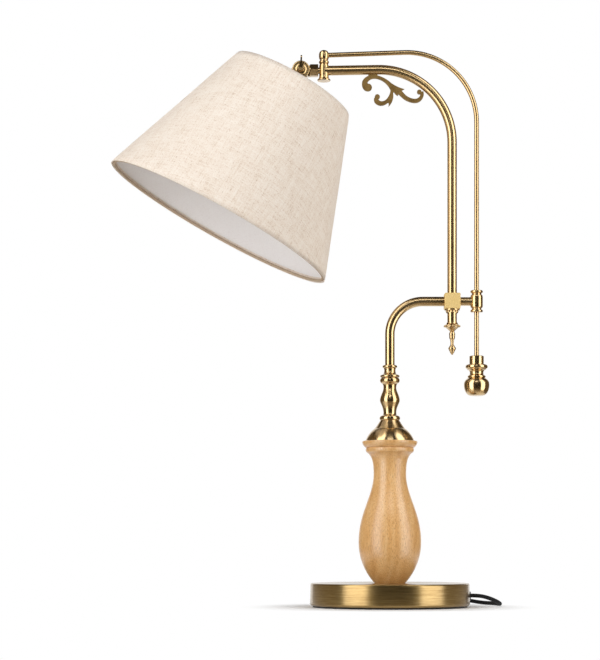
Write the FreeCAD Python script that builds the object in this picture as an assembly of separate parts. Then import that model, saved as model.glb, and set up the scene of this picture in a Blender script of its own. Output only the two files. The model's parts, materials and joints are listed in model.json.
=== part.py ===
"""Brass balance-arm table lamp with a turned wooden column and a tilting linen shade.

Millimetres and degrees. +Z is up, +X points to the counterweight side, +Y to the back.
The origin is the centre of the foot, on the surface that the lamp stands on.
Each piece is a separate solid, written to parts/NAME.step.
"""
import FreeCAD, Part
import math
import os

# ---------------------------------------------------------------- driving dimensions

# Fits
fit_clearance = 0.05          # radial, a shaft in its socket
loose_clearance = 0.3         # radial, a tube through a plain hole
joint_gap = 0.3               # between faces that turn past each other
seat_gap = 0.1                # between a wire or ring and what it sits against

# Base
base_diameter = 200.0
base_height = 30.0
base_taper = 0.9              # the side draws in by this much from foot to top
base_wall = 1.2
base_edge_radius = 1.6
base_foot_radius = 3.2
base_lip_width = 9.0
pad_thickness = 1.8
pad_setback = 3.6
weight_setback = 9.0          # edge of the base to the edge of the iron weight
weight_thickness = 10.0
washer_diameter = 30.0
washer_thickness = 1.6
nut_across_flats = 17.0
nut_height = 5.0

# Threaded tube that clamps base, weight, column and cap together
stem_diameter = 10.0
stem_bore = 7.0
stem_below_nut = 1.5
stem_into_neck = 12.0

# Wooden column
column_height = 177.5
column_foot_radius = 19.2
column_belly_radius = 39.1
column_belly_height = 51.4
column_waist_radius = 20.3
column_waist_height = 136.4
column_bead_radius = 30.1
column_bead_height = 163.6    # underside of the bead
column_rim_radius = 34.5
column_rim_width = 8.2
column_rim_round = 1.4
column_spigot_height = 3.0

# Spun bell cap over the column
bell_radius = 30.8
bell_rise = 25.6
bell_step_rise = 15.1
bell_step_radius = 20.2
bell_step_depth = 0.8
bell_top_radius = 12.2
bell_wall = 1.4

# Turned neck between the cap and the swivel
neck_ring_radius = 12.9
neck_ring_height = 6.2
neck_height = 53.4
neck_waist_radius = 8.1
neck_low_waist_rise = 9.8
neck_belly_radius = 12.5
neck_belly_rise = 25.2
neck_high_waist_rise = 41.1
neck_bead_radius = 12.4
neck_bead_width = 7.4
spigot_radius = 4.6
spigot_length = 9.0
lead_bore_radius = 2.6

# Swivel collar
collar_height = 15.8
collar_bead_radius = 12.2
collar_bead_width = 3.3
collar_waist_radius = 7.1
collar_waist_rise = 9.2
collar_top_bead_radius = 9.3
collar_top_bead_width = 3.9
socket_depth = 5.0
grub_radius = 1.5

# Gooseneck, block and main arm
tube_diameter = 12.0
tube_wall = 1.0
gooseneck_level = 382.0       # height of the horizontal run
gooseneck_bend = 41.0
arm_offset = 77.8             # swivel axis to the upright arm
block_size = 19.6
block_chamfer = 0.8
block_seat_depth = 3.0
passage_radius = 4.0
arm_bend = 91.0
arm_top = 671.6               # highest point of the arm's centreline
arm_droop = 1.0               # fall of the top run towards the shade
arm_reach = 82.4              # swivel axis to the post

# Guide and balance rod
rod_diameter = 6.0
rod_offset = 30.6             # upright arm to the rod
rod_bend = 87.0
rod_above_arm = 21.6          # between the highest points of the two centrelines
rod_droop = 2.0
rod_seat_depth = 3.2
link_radius = 5.4
guide_length = 27.4
guide_radius = 7.8
guide_groove_radius = 6.0
guide_band_height = 3.4
guide_groove_width = 2.0
guide_shoulder = 3.0          # the body grows out of the groove over this length
side_seat_depth = 3.0         # link in the guide

# Counterweight
weight_ball_radius = 16.0
weight_ball_height = 24.0
weight_waist_radius = 8.5
weight_flange_radius = 14.0
weight_flange_width = 5.4
weight_hub_radius = 9.0
weight_hub_height = 10.8
counterweight_height = 49.9
counterweight_top = 313.8
rod_into_weight = 20.0

# Tail and finial under the block
tail_collar_radius = 9.6
tail_collar_height = 5.4
tail_rim_height = 1.8
tail_bead_radius = 2.7
tail_bead_count = 8
tail_drop = 11.4              # bare tube below the collar
cup_radius = 9.9
cup_height = 11.0
cup_bead_count = 18
cup_bead_radius = 1.3
drop_height = 29.2
drop_barrel_radius = 3.7
drop_ring_radius = 3.9
drop_neck_radius = 2.3
drop_neck_height = 7.0
drop_tip_radius = 0.8
cone_radius = 4.8
cone_height = 12.1
cone_wide_share = 0.66        # widest place of the cone, up from its tip
cone_ring_count = 6

# Post at the end of the arm
post_flange_radius = 8.3
post_flange_thickness = 1.8
post_below_arm = 12.9
post_body_radius = 6.0
post_waist_radius = 5.1
post_ring_radius = 6.3
post_ball_radius = 6.35
post_above_rod = 6.4

# Scroll bracket
scroll_thickness = 3.0
scroll_fork_x = 3.2
scroll_fork_drop = 24.7       # fork below the arm's highest centreline

# Knuckle and its wing screw
hex_across_flats = 14.2
hex_length = 9.8
knuckle_reach = 28.8          # post to the tilt axis
knuckle_radius = 11.0
knuckle_plate = 8.0
knuckle_edge = 1.2            # rounding of each cheek's outer rim
knuckle_web = 13.4            # width of the rear cheek's arm
knuckle_collar = 0.6
knuckle_shoulder = 0.8        # the front cheek's arm is this much narrower than its disc
groove_depth = 1.0
groove_width = 1.6
shank_radius = 4.0
neck_collar_radius = 10.6
neck_collar_height = 2.0
nipple_radius = 5.0
nipple_length = 9.0
screw_radius = 2.5
screw_washer_radius = 7.2
screw_washer_thickness = 1.8
screw_boss_radius = 4.2
screw_boss_length = 6.5
wing_reach = 15.6             # axis to the end of the blade
wing_root = 4.2               # thickness at the boss and at the end
wing_tip = 2.0
wing_depth = 7.0
wing_lean = 2.5

# Lamp holder and bulb, along the shade's axis from the tilt axis
cap_top_radius = 9.8
cap_radius = 20.6
cap_height = 33.0
cap_wall = 1.2
holder_radius = 19.0
holder_flange_radius = 23.5
holder_flange_thickness = 3.0
holder_skirt = 39.0
holder_wall = 3.6
thread_radius = 13.5
ring_outer_radius = 25.0
ring_height = 9.0
ring_flute_count = 12
bulb_radius = 30.0
bulb_length = 107.0
bulb_cap_length = 25.0
bulb_cap_inset = 12.0         # holder flange to the cap's contact

# Shade
shade_tilt = 28.5             # axis from the vertical, opening towards -X
shade_drop = 20.8             # tilt axis to the top rim
shade_height = 195.6
shade_top_radius = 80.0
shade_bottom_radius = 151.8
shade_wall = 1.2
shade_hem_width = 7.0
shade_hem_extra = 0.5
ring_wire_radius = 1.6
fitter_arm_count = 3
fitter_plate = 2.0

# Supply cord, its outlet and the pieces on it
cord_diameter = 5.0
outlet_height = 14.5
grommet_radius = 4.4
grommet_flange = 0.8
anchor_length = 14.0
anchor_width = 12.0
anchor_setback = 16.0
lead_diameter = 4.0
lead_low_level = 5.8
lead_turn = 6.2

switch_inside = 49.0          # edge of the base to the middle of the switch, along X
switch_behind = 18.0          # switch's centreline behind the edge of the base
switch_length = 58.0
switch_width = 25.0
switch_split = 9.0
switch_top = 18.0
switch_wall = 2.5
rocker_length = 19.0
rocker_width = 9.0
rocker_pivot = 16.2
rocker_throw = 14.0
rocker_gap = 0.5
trunnion_radius = 1.1
trunnion_length = 2.0
screw_head_radius = 2.4
screw_shaft_radius = 1.2
screw_head_depth = 1.6
screw_length = 12.0

coil_x = -28.0
coil_mean_radius = 27.5
coil_across = 3               # turns side by side, and as many layers
coil_lift = 1.0
coil_slack = 0.15             # the bundle's outer shape stands off its turns
tie_width = 6.0
tie_thickness = 0.5
tie_clearance = 0.45

plug_x = 92.0                 # face that carries the pins
plug_behind = 80.0            # plug's centreline behind the edge of the base
plug_length = 36.0
plug_width = 35.0
plug_thickness = 13.7
plug_entry_width = 11.0
relief_radius = 4.8
relief_wall = 0.9
relief_length = 20.0
pin_radius = 2.0
pin_length = 19.0
pin_spacing = 19.0
pin_seat_depth = 4.0

# Route of the free cord. Each stretch is a list of points on the cord's centreline.
base_radius = base_diameter / 2
outlet_face = base_radius + grommet_flange
switch_x = base_radius - switch_inside
switch_y = base_radius + switch_behind
switch_far_end = switch_x - switch_length / 2
plug_y = base_radius + plug_behind
coil_y = switch_y + coil_mean_radius + cord_diameter
cord_floor = cord_diameter / 2 + 0.1
coil_low_turn = coil_lift + cord_diameter / 2
coil_high_turn = coil_low_turn + (coil_across - 1) * cord_diameter
cord_from_base = [
    (outlet_face, 0.0, outlet_height),
    (base_radius + 8.0, 0.0, outlet_height),
    (base_radius + 16.8, 1.4, 13.4),
    (base_radius + 25.0, 5.4, 11.0),
    (base_radius + 32.0, 11.7, 8.2),
    (base_radius + 37.4, 20.0, 5.6),
    (base_radius + 40.8, 29.6, 3.6),
    (base_radius + 42.0, 40.0, cord_floor),
    (base_radius + 40.0, switch_y - 58.0, cord_floor),
    (base_radius + 34.9, switch_y - 41.6, cord_floor),
    (base_radius + 27.4, switch_y - 27.8, cord_floor),
    (base_radius + 17.4, switch_y - 15.8, 3.6),
    (base_radius + 7.0, switch_y - 7.6, 5.4),
    (base_radius - 3.0, switch_y - 2.4, 7.4),
    (base_radius - 11.6, switch_y, switch_split),
    (switch_x + switch_length / 2, switch_y, switch_split),
]
cord_to_coil = [
    (switch_far_end, switch_y, switch_split),
    (0.8 * switch_far_end + 0.2 * coil_x, switch_y, switch_split),
    (0.6 * switch_far_end + 0.4 * coil_x, switch_y, 7.6),
    (0.4 * switch_far_end + 0.6 * coil_x, switch_y, 5.2),
    (0.2 * switch_far_end + 0.8 * coil_x, switch_y, coil_low_turn + 0.2),
    (coil_x, switch_y, coil_low_turn),
]
cord_to_plug = [
    (coil_x, coil_y + coil_mean_radius + cord_diameter, coil_high_turn),
    (-16.0, coil_y + coil_mean_radius + cord_diameter, coil_high_turn - 0.6),
    (-4.0, plug_y + 4.4, 10.4),
    (8.0, plug_y + 3.4, 7.2),
    (19.0, plug_y + 1.4, 6.4),
    (28.5, plug_y, plug_thickness / 2),
    (plug_x - plug_length - relief_length, plug_y, plug_thickness / 2),
]

# ---------------------------------------------------------------- derived places

tube_radius = tube_diameter / 2
rod_radius = rod_diameter / 2
cord_radius = cord_diameter / 2
column_top = base_height + column_height
bell_top = column_top + bell_rise
neck_top = bell_top + neck_height
collar_base = neck_top + joint_gap
collar_top = collar_base + collar_height
grub_level = collar_base + collar_bead_width + 2.6
spigot_end = neck_top + joint_gap + spigot_length
anchor_x = base_radius - anchor_setback - anchor_length
rod_x = arm_offset + rod_offset
rod_top = arm_top + rod_above_arm
post_x = -arm_reach
block_low = gooseneck_level - block_size / 2
block_high = gooseneck_level + block_size / 2
knuckle_x = post_x - knuckle_reach

X_AXIS = FreeCAD.Vector(1, 0, 0)
Y_AXIS = FreeCAD.Vector(0, 1, 0)
Z_AXIS = FreeCAD.Vector(0, 0, 1)
ORIGIN = FreeCAD.Vector(0, 0, 0)


def vec(x, y, z):
    return FreeCAD.Vector(x, y, z)


# ---------------------------------------------------------------- shape helpers

def corner_points(before, corner, after, radius):
    """Start, middle and end of the arc that rounds a corner, and its tangent length."""
    inward = (corner - before).normalize()
    outward = (after - corner).normalize()
    turn = inward.getAngle(outward)
    tangent = radius * math.tan(turn / 2)
    to_centre = (outward - inward).normalize()
    centre = corner + to_centre * (radius / math.cos(turn / 2))
    return corner - inward * tangent, centre - to_centre * radius, corner + outward * tangent


def rounded_path(points, radii, closed=False):
    """Wire of straight runs joined by tangent arcs; a radius of 0 leaves a sharp corner."""
    count = len(points)
    arcs = {}
    for index in range(count):
        if radii[index] > 0 and (closed or 0 < index < count - 1):
            arcs[index] = corner_points(points[index - 1], points[index],
                                        points[(index + 1) % count], radii[index])
    edges = []
    for index in range(count if closed else count - 1):
        following = (index + 1) % count
        start = arcs[index][2] if index in arcs else points[index]
        end = arcs[following][0] if following in arcs else points[following]
        if start.distanceToPoint(end) > 1e-6:
            edges.append(Part.LineSegment(start, end).toShape())
        if following in arcs:
            edges.append(Part.Arc(*arcs[following]).toShape())
    return Part.Wire(edges)


def revolved(section):
    """Solid of revolution about Z of a closed wire in the XZ plane."""
    return Part.Face(section).revolve(ORIGIN, Z_AXIS, 360)


def ring_section(points, radii):
    """Revolved solid from (radius, height) corners, each with its own rounding."""
    corners = [vec(radius, 0, height) for radius, height in points]
    return revolved(rounded_path(corners, radii, closed=True))


class Outline:
    """Outline of a turned piece, drawn upwards as radius against height."""

    def __init__(self, radius, height):
        self.start = vec(radius, 0, height)
        self.here = self.start
        self.edges = []

    def line(self, radius, height):
        end = vec(radius, 0, height)
        self.edges.append(Part.LineSegment(self.here, end).toShape())
        self.here = end
        return self

    def arc(self, radius, height, bulge):
        """Arc that stands out from its chord by bulge; a negative bulge is a hollow."""
        end = vec(radius, 0, height)
        along = end - self.here
        outward = vec(along.z, 0, -along.x).normalize()
        middle = (self.here + end) * 0.5 + outward * bulge
        self.edges.append(Part.Arc(self.here, middle, end).toShape())
        self.here = end
        return self

    def curve(self, first_pull, second_pull, radius, height):
        """Cubic curve; the pulls are (radius, height) steps from its two ends."""
        end = vec(radius, 0, height)
        poles = [self.here, self.here + vec(first_pull[0], 0, first_pull[1]),
                 end + vec(second_pull[0], 0, second_pull[1]), end]
        bezier = Part.BezierCurve()
        bezier.setPoles(poles)
        self.edges.append(bezier.toShape())
        self.here = end
        return self

    def solid(self):
        """Close the outline along the axis and turn it."""
        closing = [self.here, vec(0, 0, self.here.z), vec(0, 0, self.start.z), self.start]
        edges = list(self.edges)
        for first, second in zip(closing, closing[1:]):
            if first.distanceToPoint(second) > 1e-6:
                edges.append(Part.LineSegment(first, second).toShape())
        return revolved(Part.Wire(edges))


def rod_between(start, end, radius):
    return Part.makeCylinder(radius, start.distanceToPoint(end), start, end - start)


def upright(radius, low, high, x=0.0, y=0.0):
    return Part.makeCylinder(radius, high - low, vec(x, y, low), Z_AXIS)


def swept(path, radius):
    """Round bar of the given radius along a wire."""
    first = path.OrderedEdges[0]
    circle = Part.Circle(first.valueAt(first.FirstParameter), first.tangentAt(first.FirstParameter), radius)
    return path.makePipeShell([Part.Wire(circle.toShape())], True, True)


def hexagon_bar(across_flats, length, start, direction):
    """Hexagonal bar along X or Z, with a corner towards the viewer."""
    reach = across_flats / math.sqrt(3)
    corners = []
    for index in range(7):
        angle = math.radians(60 * index)
        corners.append(vec(reach * math.sin(angle), reach * math.cos(angle), 0))
    bar = Part.Face(Part.makePolygon(corners)).extrude(vec(0, 0, length))
    bar.rotate(ORIGIN, Y_AXIS, 90 if direction.x else 0)
    bar.translate(start)
    return bar


def around_axis(shape, count, first=0.0):
    """Copies of a shape spaced evenly about Z."""
    copies = []
    for index in range(count):
        copy = shape.copy()
        copy.rotate(ORIGIN, Z_AXIS, first + 360 / count * index)
        copies.append(copy)
    return copies


def export(name, shape):
    shape.exportStep(os.path.join("parts", name + ".step"))


# ---------------------------------------------------------------- base

def make_felt_pad():
    return upright(base_diameter / 2 - pad_setback, 0, pad_thickness)


def make_base_shell():
    """Spun pan: flat top, upright side and a lip turned in under the foot."""
    outer = base_diameter / 2
    hole = stem_diameter / 2 + loose_clearance
    lip = outer - base_lip_width
    inner_edge = max(base_edge_radius - base_wall, 0)
    inner_foot = max(base_foot_radius - base_wall, 0)
    top = outer - base_taper
    corners = [(lip, pad_thickness), (outer, pad_thickness), (top, base_height), (hole, base_height),
               (hole, base_height - base_wall), (top - base_wall, base_height - base_wall),
               (outer - base_wall, pad_thickness + base_wall), (lip, pad_thickness + base_wall)]
    pan = ring_section(corners, [0, base_foot_radius, base_edge_radius, 0, 0, inner_edge, inner_foot, 0])
    outlet_start = vec(outer - 4 * base_wall, 0, outlet_height)
    outlet = rod_between(outlet_start, vec(outer + base_wall, 0, outlet_height), grommet_radius)
    return pan.cut(outlet)


weight_top = base_height - base_wall
weight_low = weight_top - weight_thickness
nut_low = weight_low - washer_thickness - nut_height
stem_low = nut_low - stem_below_nut
stem_high = bell_top + neck_ring_height + stem_into_neck


def make_base_weight():
    disc = upright(base_diameter / 2 - weight_setback, weight_low, weight_top)
    return disc.cut(upright(stem_diameter / 2 + loose_clearance, weight_low, weight_top))


def make_weight_washer():
    disc = upright(washer_diameter / 2, weight_low - washer_thickness, weight_low)
    return disc.cut(upright(stem_diameter / 2 + loose_clearance, nut_low, weight_low))


def make_weight_nut():
    nut = hexagon_bar(nut_across_flats, nut_height, vec(0, 0, nut_low), Z_AXIS)
    return nut.cut(upright(stem_diameter / 2 + fit_clearance, nut_low, weight_low))


def make_stem_tube():
    tube = upright(stem_diameter / 2, stem_low, stem_high)
    return tube.cut(upright(stem_bore / 2, stem_low, stem_high))


# ---------------------------------------------------------------- column, cap and neck

def make_wood_column():
    """Vase turning: round belly, drawn-in waist, flared head with a bead and a rolled rim."""
    rise = column_waist_height - column_belly_height
    belly_chord = math.hypot(column_belly_radius - column_foot_radius, column_belly_height)
    shrink = column_belly_radius - column_foot_radius
    belly_curve = (shrink ** 2 + column_belly_height ** 2) / (2 * shrink)
    belly_bulge = belly_curve - math.sqrt(belly_curve ** 2 - (belly_chord / 2) ** 2)
    rim_low = column_height - column_rim_width
    flare_rise = column_bead_height - column_waist_height
    bead_edge = column_bead_radius - 1.0
    flare = bead_edge - column_waist_radius
    outline = Outline(column_foot_radius, 0)
    outline.arc(column_belly_radius, column_belly_height, belly_bulge)
    outline.curve((0, 0.44 * rise), (0, -0.32 * rise), column_waist_radius, column_waist_height)
    outline.curve((0, 0.68 * flare_rise), (-0.58 * flare, -0.11 * flare_rise), bead_edge, column_bead_height)
    outline.arc(bead_edge, rim_low, 1.0)
    outline.line(column_bead_radius, rim_low)
    outline.arc(column_rim_radius, column_height - column_rim_round, column_rim_width / 9)
    outline.arc(column_rim_radius - column_rim_round, column_height, (1 - math.sqrt(0.5)) * column_rim_round)
    spigot = bell_radius - 2 * bell_wall
    outline.line(spigot, column_height)
    outline.line(spigot, column_height + column_spigot_height)
    column = outline.solid()
    column.translate(vec(0, 0, base_height))
    return column.cut(upright(stem_diameter / 2 + loose_clearance, base_height, bell_top))


def bell_outline(inset, top_inset):
    """The cap's outline, drawn in by the wall for its hollow."""
    step = column_top + bell_step_rise - inset
    outline = Outline(bell_radius - inset, column_top)
    outline.arc(bell_step_radius - inset, step, bell_step_rise / 11)
    outline.line(bell_step_radius - bell_step_depth - inset, step + bell_step_depth / 2)
    outline.arc(bell_top_radius - inset, bell_top - top_inset, -0.2)
    return outline.solid()


def make_bell_cap():
    cap = bell_outline(0, 0).cut(bell_outline(bell_wall, 2.5 * bell_wall))
    return cap.cut(upright(stem_diameter / 2 + loose_clearance, column_top, bell_top))


def make_column_neck():
    """Baluster: foot ring, waist, belly, waist and head bead, with the swivel's spigot on top."""
    swell = neck_belly_rise - neck_low_waist_rise
    shrink = neck_high_waist_rise - neck_belly_rise
    outline = Outline(neck_ring_radius - 1.3, 0)
    outline.arc(neck_ring_radius - 2.5, neck_ring_height, 1.9)
    outline.curve((-1.4, 0.3), (0, -1.8), neck_waist_radius, neck_low_waist_rise)
    outline.curve((0, 0.48 * swell), (0, -0.24 * swell), neck_belly_radius, neck_belly_rise)
    outline.curve((0, 0.38 * shrink), (0, -0.3 * shrink), neck_waist_radius, neck_high_waist_rise)
    outline.curve((0, 2.4), (-1.0, -0.9), neck_bead_radius - 2.8, neck_height - neck_bead_width)
    outline.arc(neck_bead_radius - 1.6, neck_height, 2.2)
    outline.line(spigot_radius, neck_height)
    outline.line(spigot_radius, neck_height + joint_gap + spigot_length)
    neck = outline.solid()
    neck.translate(vec(0, 0, bell_top))
    neck = neck.cut(upright(lead_bore_radius, bell_top, neck_top + 2 * spigot_length))
    neck = neck.cut(upright(stem_diameter / 2 + fit_clearance, bell_top, stem_high + seat_gap))
    groove_low = grub_level - grub_radius - 0.2
    groove_high = grub_level + grub_radius + 0.2
    groove = upright(spigot_radius + 1, groove_low, groove_high)
    return neck.cut(groove.cut(upright(spigot_radius - 0.8, groove_low, groove_high)))


# ---------------------------------------------------------------- swing arm

def make_swivel_collar():
    top_bead_low = collar_height - collar_top_bead_width
    outline = Outline(collar_bead_radius - 1.2, 0)
    outline.arc(collar_bead_radius - 1.2, collar_bead_width, 1.2)
    outline.curve((-3.2, 0.4), (0, -2.6), collar_waist_radius, collar_waist_rise)
    outline.curve((0, 1.2), (-0.4, -0.8), collar_top_bead_radius - 1.4, top_bead_low)
    outline.arc(collar_top_bead_radius - 1.2, collar_height - 0.4, 1.3)
    outline.line(tube_radius + 0.8, collar_height)
    collar = outline.solid()
    collar.translate(vec(0, 0, collar_base))
    spigot_top = neck_top + joint_gap + spigot_length + joint_gap
    collar = collar.cut(upright(spigot_radius + fit_clearance, collar_base, spigot_top))
    collar = collar.cut(upright(lead_bore_radius, spigot_top, collar_top))
    collar = collar.cut(upright(tube_radius + fit_clearance, collar_top - socket_depth, collar_top))
    screw_hole = rod_between(vec(0, 0, grub_level), vec(0, 2 * collar_bead_radius, grub_level),
                             grub_radius + fit_clearance)
    return collar.cut(screw_hole)


def make_collar_grub_screw():
    start = vec(0, spigot_radius - 0.8 + joint_gap, grub_level)
    return rod_between(start, vec(0, collar_waist_radius + 0.4, grub_level), grub_radius)


def arm_corner(x, bend, top, droop):
    """Corner point of a bend whose highest centreline point is at the given height."""
    turn = math.radians(90 + droop)
    return vec(x, 0, top - bend + bend * math.tan(turn / 2))


def fall_to(corner, droop, x):
    """Point at the given x on the run that falls away from a corner."""
    return vec(x, 0, corner.z - (corner.x - x) * math.tan(math.radians(droop)))


arm_bend_corner = arm_corner(arm_offset, arm_bend, arm_top, arm_droop)
arm_end = fall_to(arm_bend_corner, arm_droop, post_x)
rod_bend_corner = arm_corner(rod_x, rod_bend, rod_top, rod_droop)
rod_end = fall_to(rod_bend_corner, rod_droop, post_x)
gooseneck_corner = vec(0, 0, gooseneck_level)
block_centre = vec(arm_offset, 0, gooseneck_level)
tilt_centre = vec(knuckle_x, 0, arm_end.z)


def hollow(path):
    return swept(path, tube_radius).cut(swept(path, tube_radius - tube_wall))


def make_gooseneck():
    start = vec(0, 0, collar_top - socket_depth)
    end = vec(arm_offset - block_size / 2 + block_seat_depth, 0, gooseneck_level)
    return hollow(rounded_path([start, gooseneck_corner, end], [0, gooseneck_bend, 0]))


def make_cross_block():
    half = block_size / 2
    block = Part.makeBox(block_size, block_size, block_size, block_centre - vec(half, half, half))
    block = block.makeChamfer(block_chamfer, block.Edges)
    socket = tube_radius + fit_clearance
    seat = half - block_seat_depth
    block = block.cut(rod_between(block_centre - X_AXIS * half, block_centre - X_AXIS * seat, socket))
    block = block.cut(upright(socket, block_high - block_seat_depth, block_high, arm_offset))
    block = block.cut(upright(socket, block_low, block_low + block_seat_depth, arm_offset))
    block = block.cut(rod_between(block_centre + X_AXIS * half, block_centre + X_AXIS * seat,
                                  link_radius + fit_clearance))
    block = block.cut(rod_between(block_centre - X_AXIS * half, block_centre, passage_radius))
    block = block.cut(upright(passage_radius, gooseneck_level, block_high, arm_offset))
    return block.cut(Part.makeSphere(passage_radius, block_centre))


def make_main_arm():
    start = vec(arm_offset, 0, block_high - block_seat_depth)
    tube = hollow(rounded_path([start, arm_bend_corner, arm_end], [0, arm_bend, 0]))
    return tube.cut(post_turning())


def make_guide_link():
    start = block_centre + X_AXIS * (block_size / 2 - block_seat_depth)
    end = vec(rod_x - guide_radius + side_seat_depth, 0, gooseneck_level)
    return rod_between(start, end, link_radius)


def make_rod_guide():
    """Sleeve with a rounded band at each end, parted from the body by a deep groove."""
    half = guide_length / 2
    band_edge = half - guide_band_height
    body_edge = band_edge - guide_groove_width
    lip = guide_groove_radius + 0.8
    outline = Outline(guide_radius - 0.7, -half)
    outline.arc(lip, -band_edge, 0.9)
    outline.arc(lip, -body_edge, guide_groove_radius - lip)
    outline.curve((0.4, 0.3), (0, -0.5 * guide_shoulder), guide_radius, -body_edge + guide_shoulder)
    outline.line(guide_radius, body_edge - guide_shoulder)
    outline.curve((0, 0.5 * guide_shoulder), (0.4, -0.3), lip, body_edge)
    outline.arc(lip, band_edge, guide_groove_radius - lip)
    outline.arc(guide_radius - 0.7, half, 0.9)
    sleeve = outline.solid()
    sleeve = sleeve.cut(upright(rod_radius + fit_clearance, -half, half))
    sleeve = sleeve.cut(rod_between(vec(-2 * guide_radius, 0, 0), vec(-guide_radius + side_seat_depth, 0, 0),
                                    link_radius + fit_clearance))
    sleeve.translate(vec(rod_x, 0, gooseneck_level))
    return sleeve


def make_balance_rod():
    start = vec(rod_x, 0, counterweight_top - rod_into_weight)
    outward = (rod_bend_corner - rod_end).normalize()
    end = rod_end + outward * (post_ball_radius - rod_seat_depth)
    return swept(rounded_path([start, rod_bend_corner, end], [0, rod_bend, 0]), rod_radius)


def make_counterweight():
    """Flattened ball under a ring, a waist, a flange and a plain hub."""
    ball = weight_ball_height
    flange_high = counterweight_height - weight_hub_height
    flange_low = flange_high - weight_flange_width
    outline = Outline(0.38 * weight_ball_radius, 0)
    outline.curve((0.4 * weight_ball_radius, 0), (0, -0.32 * ball), weight_ball_radius, 0.58 * ball)
    outline.curve((0, 0.24 * ball), (1.6, -1.6), weight_waist_radius + 2.2, ball - 1.2)
    outline.arc(weight_waist_radius + 1.7, ball + 1.6, 0.9)
    outline.arc(weight_waist_radius + 2.1, flange_low - 1.4, -1.9)
    outline.arc(weight_flange_radius - 1.8, flange_low, 0.3)
    outline.arc(weight_flange_radius - 1.8, flange_high, 1.8)
    outline.line(weight_hub_radius, flange_high)
    outline.line(weight_hub_radius, counterweight_height - 0.5)
    outline.line(weight_hub_radius - 0.5, counterweight_height)
    weight = outline.solid()
    weight = weight.cut(upright(rod_radius + fit_clearance, counterweight_height - rod_into_weight,
                                counterweight_height))
    weight.translate(vec(rod_x, 0, counterweight_top - counterweight_height))
    return weight


tail_low = block_low - tail_collar_height - tail_drop


def make_tail_collar():
    """Collar with a plain rim on top of a row of half-sunk beads."""
    rim_low = tail_collar_height - tail_rim_height
    outline = Outline(tube_radius + 0.9, 0)
    outline.line(tube_radius + 0.9, rim_low)
    outline.line(tail_collar_radius - 0.4, rim_low)
    outline.line(tail_collar_radius, rim_low + 0.4)
    outline.line(tail_collar_radius, tail_collar_height)
    bead = Part.makeSphere(tail_bead_radius, vec(tube_radius - 0.8, 0, tail_bead_radius - 0.1))
    collar = outline.solid().multiFuse(around_axis(bead, tail_bead_count))
    collar = collar.cut(upright(tube_radius + fit_clearance, 0, tail_collar_height))
    collar = collar.common(upright(tail_collar_radius, 0, tail_collar_height))
    collar.translate(vec(arm_offset, 0, block_low - tail_collar_height))
    return collar


def make_tail_tube():
    high = block_low + block_seat_depth
    tube = upright(tube_radius, tail_low, high, arm_offset)
    return tube.cut(upright(tube_radius - tube_wall, tail_low, high, arm_offset))


def make_finial_cup():
    """Cup with a beaded rim; its plug stands in the tail tube."""
    rim = 0.6 * cup_height
    plug = tube_radius - tube_wall - fit_clearance
    outline = Outline(drop_barrel_radius - 1.0, 0)
    outline.arc(cup_radius - 0.8, rim - cup_bead_radius, -0.3)
    outline.line(cup_radius - 0.8, rim + cup_bead_radius)
    outline.arc(tube_radius + 0.8, cup_height, -0.3)
    outline.line(plug, cup_height)
    outline.line(plug, cup_height + socket_depth)
    cup = outline.solid()
    bead = Part.makeSphere(cup_bead_radius, vec(cup_radius - cup_bead_radius / 2, 0, rim))
    bead.rotate(ORIGIN, Z_AXIS, 180 / cup_bead_count)
    cup = cup.multiFuse(around_axis(bead, cup_bead_count))
    cup.translate(vec(arm_offset, 0, tail_low - cup_height))
    return cup


def make_finial_drop():
    """Barrel with a thin ring, a slim neck and a ringed cone that points down."""
    neck_high = cone_height + drop_neck_height
    barrel = drop_height - neck_high
    ring_height = cone_height / cone_ring_count
    outline = Outline(0.2, 0)
    for ring in range(1, cone_ring_count + 1):
        share = ring / cone_ring_count
        if share <= cone_wide_share:
            grown = drop_tip_radius + (cone_radius - drop_tip_radius) * share / cone_wide_share
        else:
            past_wide = (share - cone_wide_share) / (1 - cone_wide_share)
            grown = cone_radius - (cone_radius - drop_neck_radius) * past_wide
        outline.arc(grown, ring_height * ring, 0.16 * ring_height)
    outline.arc(drop_neck_radius + 0.3, neck_high, -0.3)
    outline.arc(drop_ring_radius - 0.4, neck_high + 0.36 * barrel, 0.5)
    outline.line(drop_ring_radius, neck_high + 0.38 * barrel)
    outline.line(drop_ring_radius, neck_high + 0.44 * barrel)
    outline.line(drop_ring_radius - 0.5, neck_high + 0.46 * barrel)
    outline.arc(drop_barrel_radius - 1.1, drop_height, drop_barrel_radius - drop_ring_radius + 1.0)
    drop = outline.solid()
    drop.translate(vec(arm_offset, 0, tail_low - cup_height - drop_height))
    return drop


# ---------------------------------------------------------------- post, scroll and knuckle

def post_turning():
    """Outside of the post: flange, body, ring and ball."""
    low = arm_end.z - post_below_arm
    ball = rod_end.z
    ring = 0.5 * (arm_end.z + ball) + 0.9
    outline = Outline(post_flange_radius - 0.3, low)
    outline.arc(post_flange_radius - 0.3, low + post_flange_thickness, 0.3)
    outline.curve((-1.6, 0.2), (0, -1.6), post_body_radius, low + post_flange_thickness + 4.6)
    outline.line(post_body_radius, arm_end.z + tube_radius - 0.6)
    outline.arc(post_waist_radius, ring - 2.2, 0.2)
    outline.arc(post_waist_radius + 0.1, ring + 1.9, post_ring_radius - post_waist_radius)
    outline.line(post_waist_radius - 0.1, ring + 2.9)
    outline.curve((1.4, 1.2), (0, -2.2), post_ball_radius, ball + 0.5)
    outline.curve((0, 3.6), (3.4, 0), 0.6, ball + post_above_rod)
    turning = outline.solid()
    turning.translate(vec(post_x, 0, 0))
    return turning


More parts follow.
